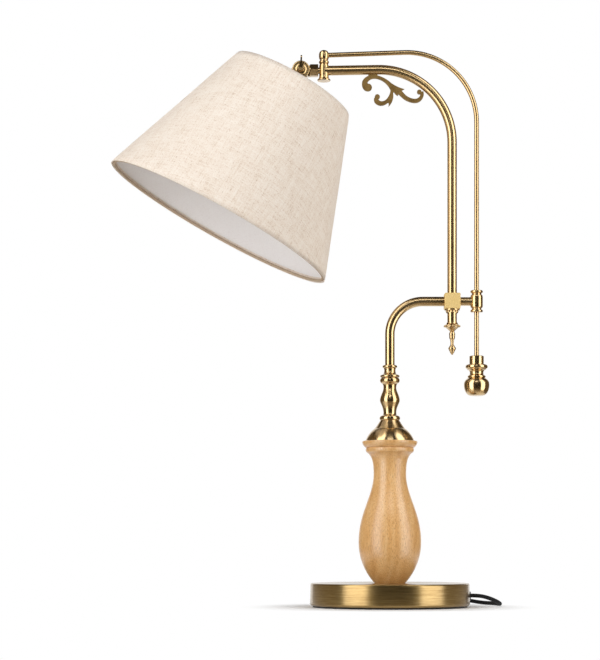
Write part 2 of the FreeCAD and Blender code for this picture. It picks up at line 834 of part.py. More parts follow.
def make_arm_post():
    post = post_turning()
    towards_arm = (arm_bend_corner - arm_end).normalize()
    post = post.cut(rod_between(arm_end, arm_end + towards_arm * 2 * post_body_radius, lead_bore_radius))
    shank_seat = arm_end - X_AXIS * 2 * post_body_radius
    post = post.cut(rod_between(shank_seat, arm_end, shank_radius + fit_clearance))
    towards_rod = (rod_bend_corner - rod_end).normalize()
    seat = rod_end + towards_rod * (post_ball_radius - rod_seat_depth)
    return post.cut(rod_between(seat, seat + towards_rod * 2 * post_ball_radius, rod_radius + fit_clearance))


def limb(spine):
    """Face of a scroll's limb, from a smooth spine of (x, z, half width)."""
    points = [vec(x, 0, z) for x, z, half in spine]
    line = Part.BSplineCurve()
    line.interpolate(points)
    sides = ([], [])
    for point, (x, z, half) in zip(points, spine):
        tangent = line.tangent(line.parameter(point))[0]
        normal = vec(-tangent.z, 0, tangent.x)
        sides[0].append(point + normal * half)
        sides[1].append(point - normal * half)
    edges = []
    for side in sides:
        edge = Part.BSplineCurve()
        edge.interpolate(side)
        edges.append(edge.toShape())
    edges.append(Part.LineSegment(sides[0][0], sides[1][0]).toShape())
    edges.append(Part.LineSegment(sides[0][-1], sides[1][-1]).toShape())
    return Part.Face(Part.Wire(Part.__sortEdges__(edges)))


def leaf(root, first_side, tip, second_side, other_root):
    """Pointed leaf of two arcs, each through a point on its side."""
    corners = [vec(x, 0, z) for x, z in (root, first_side, tip, second_side, other_root)]
    edges = [Part.Arc(corners[0], corners[1], corners[2]).toShape(),
             Part.Arc(corners[2], corners[3], corners[4]).toShape(),
             Part.LineSegment(corners[4], corners[0]).toShape()]
    return Part.Face(Part.Wire(edges))


# The scroll's three limbs as (x, z, half width) from the fork, their rolled eyes as
# (x, z, radius), and the leaves that spring from the limbs
scroll_limbs = [
    [(0.6, 0.6, 3.4), (-6.8, 9.2, 2.3), (-14.1, 13.7, 2.0), (-22.0, 15.7, 2.2), (-29.8, 14.1, 2.7),
     (-34.4, 9.0, 3.4), (-34.1, 5.4, 3.9), (-32.8, 2.6, 3.9), (-30.2, 1.6, 3.9)],
    [(0.3, 0.6, 2.8), (-0.9, -4.0, 2.0), (-2.6, -9.8, 2.5), (-7.4, -15.2, 2.3), (-14.0, -17.6, 2.7),
     (-19.6, -14.8, 2.9), (-20.3, -11.0, 2.5)],
    [(0.9, 0.0, 3.4), (8.6, -3.2, 3.1), (15.6, -9.8, 2.6), (23.6, -13.7, 2.5), (31.6, -13.7, 2.5),
     (36.4, -8.8, 2.2), (36.3, -3.2, 2.3)],
]
scroll_eyes = [(-30.3, 2.4, 4.7), (-18.9, -9.3, 3.2), (33.6, -3.2, 2.9)]
scroll_leaves = [
    ((-2.0, 8.2), (5.5, 3.7), (15.0, 0.3), (12.6, -1.0), (9.0, -4.0)),
    ((1.8, -3.2), (4.0, -6.2), (6.8, -8.1), (7.2, -6.2), (7.0, -3.6)),
    ((0.6, -3.6), (0.4, -13.0), (-5.1, -21.6), (-4.6, -18.8), (-6.2, -14.4)),
]
scroll_foot = (-30.2, 15.0)
scroll_foot_size = (11.6, 6.5)


def make_scroll_bracket():
    """Flat scroll: three limbs with rolled eyes and pointed leaves, coped to the arm."""
    faces = [limb(spine) for spine in scroll_limbs] + [leaf(*points) for points in scroll_leaves]
    solids = [face.extrude(vec(0, scroll_thickness, 0)) for face in faces]
    for x, z, radius in scroll_eyes:
        solids.append(Part.makeCylinder(radius, scroll_thickness, vec(x, 0, z), Y_AXIS))
    solids.append(Part.makeBox(scroll_foot_size[0], scroll_thickness, scroll_foot_size[1],
                               vec(scroll_foot[0], 0, scroll_foot[1])))
    scroll = solids[0].multiFuse(solids[1:])
    scroll.translate(vec(scroll_fork_x, -scroll_thickness / 2, arm_top - scroll_fork_drop))
    path = rounded_path([vec(arm_offset, 0, gooseneck_level), arm_bend_corner, arm_end], [0, arm_bend, 0])
    return scroll.cut(swept(path, tube_radius)).removeSplitter()


hex_left = knuckle_x + knuckle_radius + joint_gap + knuckle_collar


def make_hex_coupling():
    bar = hexagon_bar(hex_across_flats, hex_length, vec(hex_left, 0, arm_end.z), X_AXIS)
    bore = rod_between(vec(hex_left, 0, arm_end.z), vec(hex_left + hex_length, 0, arm_end.z),
                       shank_radius + fit_clearance)
    return bar.cut(bore)


def knuckle_cheek(sign, reach, web_width):
    """Round cheek on one side of the joint with a thinner arm that leads out along +X."""
    straight = knuckle_plate - knuckle_edge
    outline = Outline(knuckle_radius, 0)
    outline.line(knuckle_radius, straight)
    outline.arc(knuckle_radius - knuckle_edge, knuckle_plate, (1 - math.sqrt(0.5)) * knuckle_edge)
    cheek = outline.solid()
    cheek.rotate(ORIGIN, X_AXIS, -90 * sign)
    cheek.translate(vec(0, sign * joint_gap / 2, 0))
    near = sign * joint_gap / 2
    far = near + sign * straight
    web = Part.makeBox(reach, straight, web_width, vec(0, min(near, far), -web_width / 2))
    return cheek.fuse(web)


def make_knuckle_base():
    """Rear cheek, held: its shank runs through the hexagon into the post."""
    collar_start = knuckle_radius + joint_gap
    body = knuckle_cheek(1, collar_start + knuckle_collar, knuckle_web)
    body = body.fuse(rod_between(vec(collar_start, 0, 0), vec(collar_start + knuckle_collar, 0, 0),
                                 knuckle_plate - joint_gap))
    body = body.fuse(rod_between(vec(collar_start, 0, 0), vec(knuckle_reach - 1, 0, 0), shank_radius))
    body = body.cut(rod_between(vec(collar_start + knuckle_collar, 0, 0), vec(knuckle_reach, 0, 0),
                                lead_diameter / 2 + loose_clearance))
    body = body.cut(Part.makeCylinder(screw_radius + fit_clearance, 3 * knuckle_plate, vec(0, 0, 0), Y_AXIS))
    body.translate(tilt_centre)
    return body


# ---------------------------------------------------------------- head, drawn hanging straight down

def hang(shape):
    """Turn a head piece from its drawn place, axis down from the origin, to its rest place."""
    shape.rotate(ORIGIN, Y_AXIS, shade_tilt)
    shape.translate(tilt_centre)
    return shape


cheek_front = -(joint_gap / 2 + knuckle_plate)
washer_back = cheek_front - seat_gap
washer_front = washer_back - screw_washer_thickness
cap_top = -(knuckle_radius + joint_gap + neck_collar_height)
cap_low = cap_top - cap_height
flange_low = cap_low - holder_flange_thickness
plate_low = flange_low - fitter_plate
ring_low = plate_low - ring_height
holder_low = flange_low - holder_skirt
contact_level = flange_low - bulb_cap_inset
rim_top = -shade_drop
rim_low = rim_top - shade_height


def face_groove(radius):
    """Turned groove in the front face of the tilting cheek."""
    front = vec(0, cheek_front, 0)
    ring = Part.makeCylinder(radius, groove_depth, front, Y_AXIS)
    return ring.cut(Part.makeCylinder(radius - groove_width, groove_depth, front, Y_AXIS))


def make_knuckle_head():
    """Front cheek, tilting: its nipple carries the holder cap."""
    collar_start = knuckle_radius + joint_gap
    body = knuckle_cheek(-1, collar_start + neck_collar_height, 2 * knuckle_radius - knuckle_shoulder)
    body.rotate(ORIGIN, Y_AXIS, 90)
    body = body.cut(face_groove(screw_washer_radius + 0.4 + groove_width))
    body = body.fuse(upright(neck_collar_radius, cap_top, -collar_start))
    body = body.fuse(upright(nipple_radius, cap_top - nipple_length, -collar_start))
    body = body.cut(upright(lead_bore_radius, cap_top - nipple_length, cap_top))
    bolt_start = vec(0, -2 * knuckle_plate, 0)
    return body.cut(rod_between(bolt_start, vec(0, knuckle_plate, 0), screw_radius + fit_clearance))


def cap_outline(inset):
    outline = Outline(cap_radius - inset, cap_low)
    outline.line(cap_radius - inset, cap_low + 0.36 * cap_height)
    outline.curve((0, 0.3 * cap_height), (0.2 * cap_radius, -0.16 * cap_height),
                  cap_top_radius + 0.8 - inset, cap_top - 1.5 - inset)
    outline.arc(cap_top_radius - inset, cap_top - inset, 0.3)
    return outline.solid()


def make_socket_cap():
    cap = cap_outline(0).cut(cap_outline(cap_wall))
    return cap.cut(upright(nipple_radius + fit_clearance, cap_low, cap_top))


def make_lamp_holder():
    """Moulded holder: body inside the cap, shade flange and threaded skirt."""
    body_top = cap_low + 0.42 * cap_height
    inside = cap_radius - cap_wall - loose_clearance
    outline = Outline(holder_radius, holder_low)
    outline.line(holder_radius, flange_low)
    outline.line(holder_flange_radius, flange_low)
    outline.line(holder_flange_radius, cap_low)
    outline.line(inside, cap_low)
    outline.line(inside, cap_low + 0.3 * cap_height)
    outline.line(inside - 5.0, body_top)
    holder = outline.solid()
    holder = holder.cut(upright(holder_radius - holder_wall, holder_low, contact_level - 2.0))
    return holder


def make_holder_thread():
    """Metal screw shell with the centre contact plate."""
    outer = holder_radius - holder_wall - fit_clearance
    low = holder_low + 6.0
    shell = upright(outer, low, contact_level - 2.0)
    shell = shell.cut(upright(thread_radius + fit_clearance, low, contact_level - 4.0))
    return shell


def make_holder_ring():
    """Fluted ring that clamps the shade's plate to the holder."""
    ring = upright(ring_outer_radius, ring_low, plate_low)
    ring = ring.cut(upright(holder_radius + fit_clearance, ring_low, plate_low))
    flute = upright(1.6, ring_low, plate_low, ring_outer_radius + 0.6)
    for cutter in around_axis(flute, ring_flute_count):
        ring = ring.cut(cutter)
    return ring


def shade_radius(level):
    """Outer radius of the shade at a level below the tilt axis."""
    share = (rim_top - level) / shade_height
    return shade_top_radius + (shade_bottom_radius - shade_top_radius) * share


def make_shade_shell():
    """Linen on a stiff liner: a plain cone, thicker inside at both hems where the linen turns in."""
    hem_wall = shade_wall + shade_hem_extra
    low_in = rim_low + shade_hem_width
    high_in = rim_top - shade_hem_width
    corners = [(shade_radius(rim_low) - hem_wall, rim_low), (shade_radius(rim_low), rim_low),
               (shade_radius(rim_top), rim_top), (shade_radius(rim_top) - hem_wall, rim_top),
               (shade_radius(high_in) - hem_wall, high_in), (shade_radius(high_in) - shade_wall, high_in),
               (shade_radius(low_in) - shade_wall, low_in), (shade_radius(low_in) - hem_wall, low_in)]
    return ring_section(corners, [0] * len(corners))


def ring_centre_radius(level):
    """Centre radius of a ring wire that lies against the hem inside the shade."""
    slope = math.atan((shade_bottom_radius - shade_top_radius) / shade_height)
    hem_inside = shade_radius(level) - shade_wall - shade_hem_extra
    return hem_inside - (ring_wire_radius + seat_gap) / math.cos(slope)


def ring_wire(level):
    return Part.makeTorus(ring_centre_radius(level), ring_wire_radius, vec(0, 0, level), Z_AXIS)


def make_shade_fitter():
    """Top ring, three spokes and the recessed plate that sits on the holder."""
    level = rim_top - ring_wire_radius - seat_gap
    plate_top = plate_low + fitter_plate
    plate = upright(ring_outer_radius, plate_low, plate_top)
    plate = plate.cut(upright(holder_radius + fit_clearance, plate_low, plate_top))
    inner = vec(ring_outer_radius - ring_wire_radius, 0, plate_low + ring_wire_radius + seat_gap)
    outer = vec(ring_centre_radius(level), 0, level)
    spoke = rod_between(inner, outer, ring_wire_radius)
    fitter = ring_wire(level).multiFuse([plate] + around_axis(spoke, fitter_arm_count, first=30.0))
    hole = upright(holder_flange_radius + loose_clearance, plate_top, plate_top + 3 * ring_wire_radius)
    return fitter.cut(hole)


def make_shade_bottom_ring():
    return ring_wire(rim_low + ring_wire_radius + seat_gap)


def make_bulb_glass():
    """Pear-shaped envelope, hollow."""
    def envelope(inset):
        low = contact_level - bulb_length + inset
        centre = contact_level - bulb_length + bulb_radius
        neck = thread_radius - 1.5 - inset
        outline = Outline(0.2, low)
        outline.arc(bulb_radius - inset, centre, (bulb_radius - inset) * (1 - math.sqrt(0.5)))
        outline.curve((0, 0.5 * bulb_radius), (0, -0.4 * bulb_radius), neck,
                      contact_level - bulb_cap_length - 0.5)
        outline.line(neck, contact_level - bulb_cap_length + 4.0 - inset)
        return outline.solid()
    return envelope(0).cut(envelope(1.0))


def make_bulb_cap():
    high = contact_level - 4.0 - seat_gap
    low = contact_level - bulb_cap_length
    cap = upright(thread_radius - fit_clearance, low, high - 5.0)
    cap = cap.fuse(Part.makeCone(thread_radius - 1.5, 5.0, 5.0, vec(0, 0, high - 5.0), Z_AXIS))
    return cap.cut(upright(thread_radius - 1.5 + fit_clearance, low, low + 4.0 + seat_gap))


# ---------------------------------------------------------------- wing screw

def facing_viewer(turning, back):
    """Stand a turned piece on a plane behind the viewer's side: its +Z becomes -Y."""
    turning.rotate(ORIGIN, X_AXIS, 90)
    turning.translate(vec(0, back, 0))
    return turning


def make_wing_washer():
    """Washer with a domed face."""
    dome = screw_washer_thickness - 0.6
    outline = Outline(screw_washer_radius, 0)
    outline.line(screw_washer_radius, 0.6)
    outline.arc(screw_boss_radius, 0.6 + dome, dome / 4)
    disc = outline.solid().cut(upright(screw_radius + fit_clearance, 0, 2 * screw_washer_thickness))
    disc = facing_viewer(disc, washer_back)
    disc.translate(tilt_centre)
    return disc


def wing_blade(back):
    """Upright blade, thick at its root and rounded at its end."""
    near = back - 1.6
    far = near - wing_depth
    side = [vec(0, near, 0), vec(0, near - 0.6, wing_reach), vec(0, far, wing_reach), vec(0, far + 2.0, 0)]
    side_face = Part.Face(rounded_path(side, [0, 2.0, 2.8, 0], closed=True))
    side_face.translate(vec(-wing_root, 0, 0))
    front = [vec(-wing_root / 2, 0, 0), vec(wing_root / 2, 0, 0), vec(wing_root / 2, 0, 0.2 * wing_reach),
             vec(wing_tip / 2, 0, 0.55 * wing_reach), vec(wing_tip / 2, 0, wing_reach),
             vec(-wing_tip / 2, 0, wing_reach), vec(-wing_tip / 2, 0, 0.55 * wing_reach),
             vec(-wing_root / 2, 0, 0.2 * wing_reach)]
    front_face = Part.Face(rounded_path(front, [0, 0, 4.0, 8.0, 0.9, 0.9, 8.0, 4.0], closed=True))
    front_face.translate(vec(0, far, 0))
    return side_face.extrude(vec(2 * wing_root, 0, 0)).common(front_face.extrude(vec(0, near - far, 0)))


def make_wing_screw():
    """Thumb screw: barrel boss with one upright blade, and the bolt through both cheeks."""
    back = washer_front - seat_gap
    front = back - screw_boss_length
    boss = Outline(screw_boss_radius - 0.6, 0)
    boss.arc(screw_boss_radius - 0.6, screw_boss_length, 0.6)
    bolt = rod_between(vec(0, front + 1.0, 0), vec(0, joint_gap / 2 + knuckle_plate, 0), screw_radius)
    screw = facing_viewer(boss.solid(), back).multiFuse([wing_blade(back), bolt])
    screw.rotate(ORIGIN, Y_AXIS, wing_lean)
    screw.translate(tilt_centre)
    return screw


# ---------------------------------------------------------------- cord, switch and plug

def cord_tube(route):
    """Tube along a cord route; each bend is as large as its two runs allow."""
    points = [vec(*point) for point in route]
    radii = [0.0]
    for before, corner, after in zip(points, points[1:], points[2:]):
        turn = (corner - before).getAngle(after - corner)
        shorter = min(before.distanceToPoint(corner), corner.distanceToPoint(after))
        radii.append(0.45 * shorter / math.tan(turn / 2))
    radii.append(0.0)
    path = rounded_path(points, radii)
    tube = swept(path, cord_radius)
    expected = math.pi * cord_radius ** 2 * path.Length
    print("cord run %.0f mm, volume ratio %.4f, radii %s"
          % (path.Length, tube.Volume / expected, " ".join("%.0f" % radius for radius in radii[1:-1])))
    return tube


def make_cord_grommet():
    flange = rod_between(vec(base_radius - base_taper, 0, outlet_height), vec(outlet_face, 0, outlet_height),
                         grommet_radius + 0.6)
    side = Part.makeCone(base_radius, base_radius - base_taper, base_height - pad_thickness,
                         vec(0, 0, pad_thickness), Z_AXIS)
    flange = flange.cut(side)
    bush = rod_between(vec(base_radius - 2 * base_wall, 0, outlet_height), vec(outlet_face, 0, outlet_height),
                       grommet_radius - fit_clearance)
    bush = bush.fuse(flange)
    return bush.cut(rod_between(vec(0, 0, outlet_height), vec(outlet_face, 0, outlet_height),
                                lead_diameter / 2 + fit_clearance))


def make_cord_anchor():
    """Block under the weight that grips the lead inside the base."""
    low = outlet_height - lead_diameter
    block = Part.makeBox(anchor_length, anchor_width, weight_low - low, vec(anchor_x, -anchor_width / 2, low))
    bore_end = vec(anchor_x + anchor_length, 0, outlet_height)
    return block.cut(rod_between(vec(anchor_x, 0, outlet_height), bore_end, lead_diameter / 2 + fit_clearance))


def make_base_lead():
    """Flex from the outlet, under the nut and up through the column to the swivel."""
    points = [vec(outlet_face, 0, outlet_height), vec(30, 0, outlet_height), vec(16, 0, lead_low_level),
              vec(0, 0, lead_low_level), vec(0, 0, spigot_end)]
    return swept(rounded_path(points, [0, 14.0, 10.0, lead_turn, 0]), lead_diameter / 2)


def make_arm_lead():
    """Flex through gooseneck, block and arm to the knuckle's shank."""
    points = [vec(0, 0, spigot_end + joint_gap), gooseneck_corner, block_centre, arm_bend_corner,
              arm_end + (arm_bend_corner - arm_end).normalize() * post_waist_radius]
    return swept(rounded_path(points, [0, gooseneck_bend, lead_turn, arm_bend, 0]), lead_diameter / 2)


def switch_block(low, high, shrink=0.0):
    """Rounded block of the switch's plan between two levels."""
    half_length = switch_length / 2 - shrink
    half_width = switch_width / 2 - shrink
    nose = 0.42 * half_width
    waist = 0.62 * half_length
    corners = [vec(-half_length, -nose, low), vec(-waist, -half_width, low), vec(waist, -half_width, low),
               vec(half_length, -nose, low), vec(half_length, nose, low), vec(waist, half_width, low),
               vec(-waist, half_width, low), vec(-half_length, nose, low)]
    radii = [3.0, 9.0, 9.0, 3.0, 3.0, 9.0, 9.0, 3.0]
    return Part.Face(rounded_path(corners, radii, closed=True)).extrude(vec(0, 0, high - low))


def place_switch(shape):
    shape.translate(vec(switch_x, switch_y, 0))
    return shape


def wire_passage():
    """Bore for the cord's cores at both ends of the switch, through to the chamber."""
    return rod_between(vec(-switch_length, 0, switch_split), vec(switch_length, 0, switch_split),
                       lead_diameter / 2)


def switch_chamber():
    half_length = rocker_length / 2 + 5.0
    half_width = switch_width / 2 - 2 * switch_wall
    return Part.makeBox(2 * half_length, 2 * half_width, switch_top - 2 * switch_wall,
                        vec(-half_length, -half_width, switch_wall))


def switch_screw_places():
    offset = 0.36 * switch_length
    return [vec(-offset, 0.22 * switch_width, 0), vec(offset, -0.22 * switch_width, 0)]


def make_switch_base():
    base = switch_block(0, switch_split)
    base = base.makeChamfer(0.8, [edge for edge in base.Edges if edge.BoundBox.ZMax < 0.01])
    base = base.cut(switch_chamber())
    recess = screw_head_depth + seat_gap
    for place in switch_screw_places():
        base = base.cut(upright(screw_head_radius + seat_gap, 0, recess, place.x, place.y))
        base = base.cut(upright(screw_shaft_radius + fit_clearance, 0, switch_split, place.x, place.y))
    return base


def make_switch_cover():
    cover = switch_block(switch_split, switch_top)
    cover = cover.makeFillet(2.2, [edge for edge in cover.Edges if edge.BoundBox.ZMin > switch_top - 0.01])
    cover = cover.cut(switch_chamber())
    half_length = rocker_length / 2 + 2 * rocker_gap
    half_width = rocker_width / 2 + rocker_gap
    window_corner = vec(-half_length, -half_width, switch_split)
    cover = cover.cut(Part.makeBox(2 * half_length, 2 * half_width, switch_top, window_corner))
    reach = rocker_width / 2 + trunnion_length + rocker_gap
    cover = cover.cut(rod_between(vec(0, -reach, rocker_pivot), vec(0, reach, rocker_pivot),
                                  trunnion_radius + fit_clearance))
    for place in switch_screw_places():
        cover = cover.cut(upright(screw_shaft_radius + fit_clearance, switch_split, screw_length + seat_gap,
                                  place.x, place.y))
    return cover


def make_switch_screw(place):
    head = upright(screw_head_radius, 0.2, screw_head_depth, place.x, place.y)
    return head.fuse(upright(screw_shaft_radius, screw_head_depth, screw_length, place.x, place.y))


def make_switch_rocker():
    """Rocker with a dished top, at rest with its far end down."""
    half = rocker_length / 2
    corners = [vec(-half, 0, 3.0), vec(-half, 0, -1.6), vec(0, 0, -4.4),
               vec(half, 0, -1.6), vec(half, 0, 3.0), vec(0, 0, 1.0)]
    face = Part.Face(rounded_path(corners, [0.5, 1.0, 4.0, 1.0, 0.5, 30.0], closed=True))
    face.translate(vec(0, -rocker_width / 2, 0))
    rocker = face.extrude(vec(0, rocker_width, 0))
    reach = rocker_width / 2 + trunnion_length
    rocker = rocker.fuse(rod_between(vec(0, -reach, 0), vec(0, reach, 0), trunnion_radius))
    rocker.rotate(ORIGIN, Y_AXIS, -rocker_throw / 2)
    rocker.translate(vec(0, 0, rocker_pivot))
    return rocker


def make_cord_coil():
    """Outer shape of the wound cord."""
    half = coil_across * cord_diameter / 2 + coil_slack
    low = coil_lift - coil_slack
    high = coil_lift + coil_across * cord_diameter + coil_slack
    corners = [(coil_mean_radius - half, low), (coil_mean_radius + half, low),
               (coil_mean_radius + half, high), (coil_mean_radius - half, high)]
    coil = ring_section(corners, [cord_radius] * 4)
    coil.translate(vec(coil_x, coil_y, 0))
    return coil


def make_coil_tie():
    """Strap round the bundle, on the side away from the plug."""
    half = coil_across * cord_diameter / 2 + tie_clearance
    low = coil_lift - tie_clearance
    high = coil_lift + coil_across * cord_diameter + tie_clearance

    def loop(grow):
        corners = [vec(-half - grow, 0, low - grow), vec(half + grow, 0, low - grow),
                   vec(half + grow, 0, high + grow), vec(-half - grow, 0, high + grow)]
        face = Part.Face(rounded_path(corners, [cord_radius + grow] * 4, closed=True))
        face.translate(vec(0, -tie_width / 2, 0))
        return face.extrude(vec(0, tie_width, 0))

    tie = loop(tie_thickness).cut(loop(0))
    tie.translate(vec(coil_x - coil_mean_radius, coil_y, 0))
    return tie


def make_plug_body():
    """Flat two-pin plug, tapered towards the cord."""
    half = plug_width / 2
    entry = plug_entry_width / 2
    corners = [vec(0, -half, 0), vec(0, half, 0), vec(-0.36 * plug_length, half, 0),
               vec(-0.82 * plug_length, entry + 2.0, 0), vec(-plug_length, entry, 0),
               vec(-plug_length, -entry, 0), vec(-0.82 * plug_length, -entry - 2.0, 0),
               vec(-0.36 * plug_length, -half, 0)]
    radii = [2.0, 2.0, 8.0, 8.0, 1.5, 1.5, 8.0, 8.0]
    body = Part.Face(rounded_path(corners, radii, closed=True)).extrude(vec(0, 0, plug_thickness))
    flat = [edge for edge in body.Edges if edge.BoundBox.ZMax - edge.BoundBox.ZMin < 0.01]
    body = body.makeFillet(1.6, flat)
    body.translate(vec(plug_x, plug_y, 0))
    entry_face = vec(plug_x - plug_length, plug_y, plug_thickness / 2)
    relief = Part.makeCone(relief_radius, cord_radius + relief_wall, relief_length, entry_face, X_AXIS * -1)
    body = body.fuse(relief)
    for place in pin_places():
        body = body.cut(rod_between(place - X_AXIS * pin_seat_depth, place, pin_radius + fit_clearance))
    return body


def pin_places():
    return [vec(plug_x, plug_y + side * pin_spacing / 2, plug_thickness / 2) for side in (-1, 1)]


def make_plug_pin(place):
    """Round pin with a domed end."""
    dome = place + X_AXIS * (pin_length - pin_radius)
    shaft = rod_between(place - X_AXIS * pin_seat_depth, dome, pin_radius)
    return shaft.fuse(Part.makeSphere(pin_radius, dome))


# ---------------------------------------------------------------- write every piece

os.makedirs("parts", exist_ok=True)

pieces = {
    "felt_pad": make_felt_pad(),
    "base_shell": make_base_shell(),
    "base_weight": make_base_weight(),
    "weight_washer": make_weight_washer(),
    "weight_nut": make_weight_nut(),
    "stem_tube": make_stem_tube(),
    "wood_column": make_wood_column(),
    "bell_cap": make_bell_cap(),
    "column_neck": make_column_neck(),
    "swivel_collar": make_swivel_collar(),
    "collar_grub_screw": make_collar_grub_screw(),
    "gooseneck": make_gooseneck(),
    "cross_block": make_cross_block(),
    "main_arm": make_main_arm(),
    "guide_link": make_guide_link(),
    "rod_guide": make_rod_guide(),
    "balance_rod": make_balance_rod(),
    "counterweight": make_counterweight(),
    "tail_collar": make_tail_collar(),
    "tail_tube": make_tail_tube(),
    "finial_cup": make_finial_cup(),
    "finial_drop": make_finial_drop(),
    "arm_post": make_arm_post(),
    "scroll_bracket": make_scroll_bracket(),
    "hex_coupling": make_hex_coupling(),
    "knuckle_base": make_knuckle_base(),
    "knuckle_head": hang(make_knuckle_head()),
    "socket_cap": hang(make_socket_cap()),
    "lamp_holder": hang(make_lamp_holder()),
    "holder_thread": hang(make_holder_thread()),
    "holder_ring": hang(make_holder_ring()),
    "shade_fitter": hang(make_shade_fitter()),
    "shade_bottom_ring": hang(make_shade_bottom_ring()),
    "shade_shell": hang(make_shade_shell()),
    "bulb_glass": hang(make_bulb_glass()),
    "bulb_cap": hang(make_bulb_cap()),
    "wing_washer": make_wing_washer(),
    "wing_screw": make_wing_screw(),
    "base_lead": make_base_lead(),
    "arm_lead": make_arm_lead(),
    "cord_grommet": make_cord_grommet(),
    "cord_anchor": make_cord_anchor(),
    "supply_cord": cord_tube(cord_from_base),
    "switch_base": place_switch(make_switch_base().cut(wire_passage())),
    "switch_cover": place_switch(make_switch_cover().cut(wire_passage())),
    "switch_screw_left": place_switch(make_switch_screw(switch_screw_places()[0])),
    "switch_screw_right": place_switch(make_switch_screw(switch_screw_places()[1])),
    "switch_rocker": place_switch(make_switch_rocker()),
    "coil_feed": cord_tube(cord_to_coil).cut(make_cord_coil()),
    "cord_coil": make_cord_coil(),
    "coil_tie": make_coil_tie(),
    "plug_feed": cord_tube(cord_to_plug).cut(make_cord_coil()),
    "plug_body": make_plug_body(),
    "plug_pin_near": make_plug_pin(pin_places()[0]),
    "plug_pin_far": make_plug_pin(pin_places()[1]),
}

for name, shape in pieces.items():
    export(name, shape)
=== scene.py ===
"""Looks of the brass balance-arm table lamp: camera, studio, cord, linen shade and materials.

Metres, in the row frame: +Z up, +X to the counterweight, +Y to the back.
"""
import bmesh
import bpy
import json
import math
from mathutils import Matrix, Vector


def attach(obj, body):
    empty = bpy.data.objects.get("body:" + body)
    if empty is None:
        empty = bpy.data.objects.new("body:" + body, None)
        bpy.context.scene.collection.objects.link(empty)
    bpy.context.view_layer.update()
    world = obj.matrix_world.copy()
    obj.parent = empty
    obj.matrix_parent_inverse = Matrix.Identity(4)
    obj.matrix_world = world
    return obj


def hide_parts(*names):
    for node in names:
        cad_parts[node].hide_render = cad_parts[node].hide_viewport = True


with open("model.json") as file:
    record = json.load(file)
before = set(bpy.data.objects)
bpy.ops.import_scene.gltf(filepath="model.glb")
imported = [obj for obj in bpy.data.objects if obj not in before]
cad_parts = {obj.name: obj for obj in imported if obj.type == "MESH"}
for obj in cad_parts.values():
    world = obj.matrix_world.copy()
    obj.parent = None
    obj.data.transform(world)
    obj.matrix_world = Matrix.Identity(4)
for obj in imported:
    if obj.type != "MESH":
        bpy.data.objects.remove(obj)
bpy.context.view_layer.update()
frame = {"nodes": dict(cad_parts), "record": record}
nodes = frame["nodes"]

# ---------------------------------------------------------------- sizes, in metres

CORD_DIAMETER = 0.005
CORD_LENGTH = 1.80
BRAID_PITCH = 0.0042
BRAID_STRANDS = 4
OUTLET = (0.1008, 0.0, 0.0145)
COIL_CENTRE = (-0.028, 0.1505)
COIL_RADIUS = 0.0275
COIL_LIFT = 0.001
COIL_TURNS = 8.5
COIL_CHANGE = 0.16  # part of a turn in which the cord moves over to its next place
POINTS_PER_TURN = 18

TILT_CENTRE = (-0.1112, 0.0, 0.670406)
SHADE_TILT = 28.5  # degrees
SHADE_TOP = -0.0208  # heights on the shade's own axis, from the tilt's centre
SHADE_LOW = -0.2164
SHADE_TOP_RADIUS = 0.0800
SHADE_LOW_RADIUS = 0.1518
SHADE_WALL = 0.0012
HEM_WIDTH = 0.007
HEM_FOLD = 0.0005
HEM_OVERLAP = 0.002
RIPPLE_DEPTH = 0.00008

CAMERA_PLACE = (-0.1123, -2.356, 0.079)
SENSOR_WIDTH = 36  # millimetres, as is the focal length
FOCAL_LENGTH = 113.1
PICTURE_SHIFT = 0.3565

ROOM_REACH = 3.2
ROOM_LOW = -1.2
ROOM_HIGH = 3.2
DRAPE_TURN = 6  # degrees, as are the two ends below
DARK_END = 84
NET_END = 150
FLOOR_RADIUS = 0.40
FLOOR_BACK = 0.25
FLOOR_EDGES = 96
SHADOW_REACH = (0.10, 0.19)


# ---------------------------------------------------------------- camera

def make_camera():
    """Camera low in front of the lamp, looking level; the picture is shifted up."""
    camera = bpy.data.objects.new("camera", bpy.data.cameras.new("camera"))
    bpy.context.scene.collection.objects.link(camera)
    camera.location = CAMERA_PLACE
    camera.rotation_euler = (math.radians(90), 0, 0)
    camera.data.sensor_fit = "HORIZONTAL"
    camera.data.sensor_width = SENSOR_WIDTH
    camera.data.lens = FOCAL_LENGTH
    camera.data.shift_y = PICTURE_SHIFT
    bpy.context.scene.camera = camera


# ---------------------------------------------------------------- material helpers

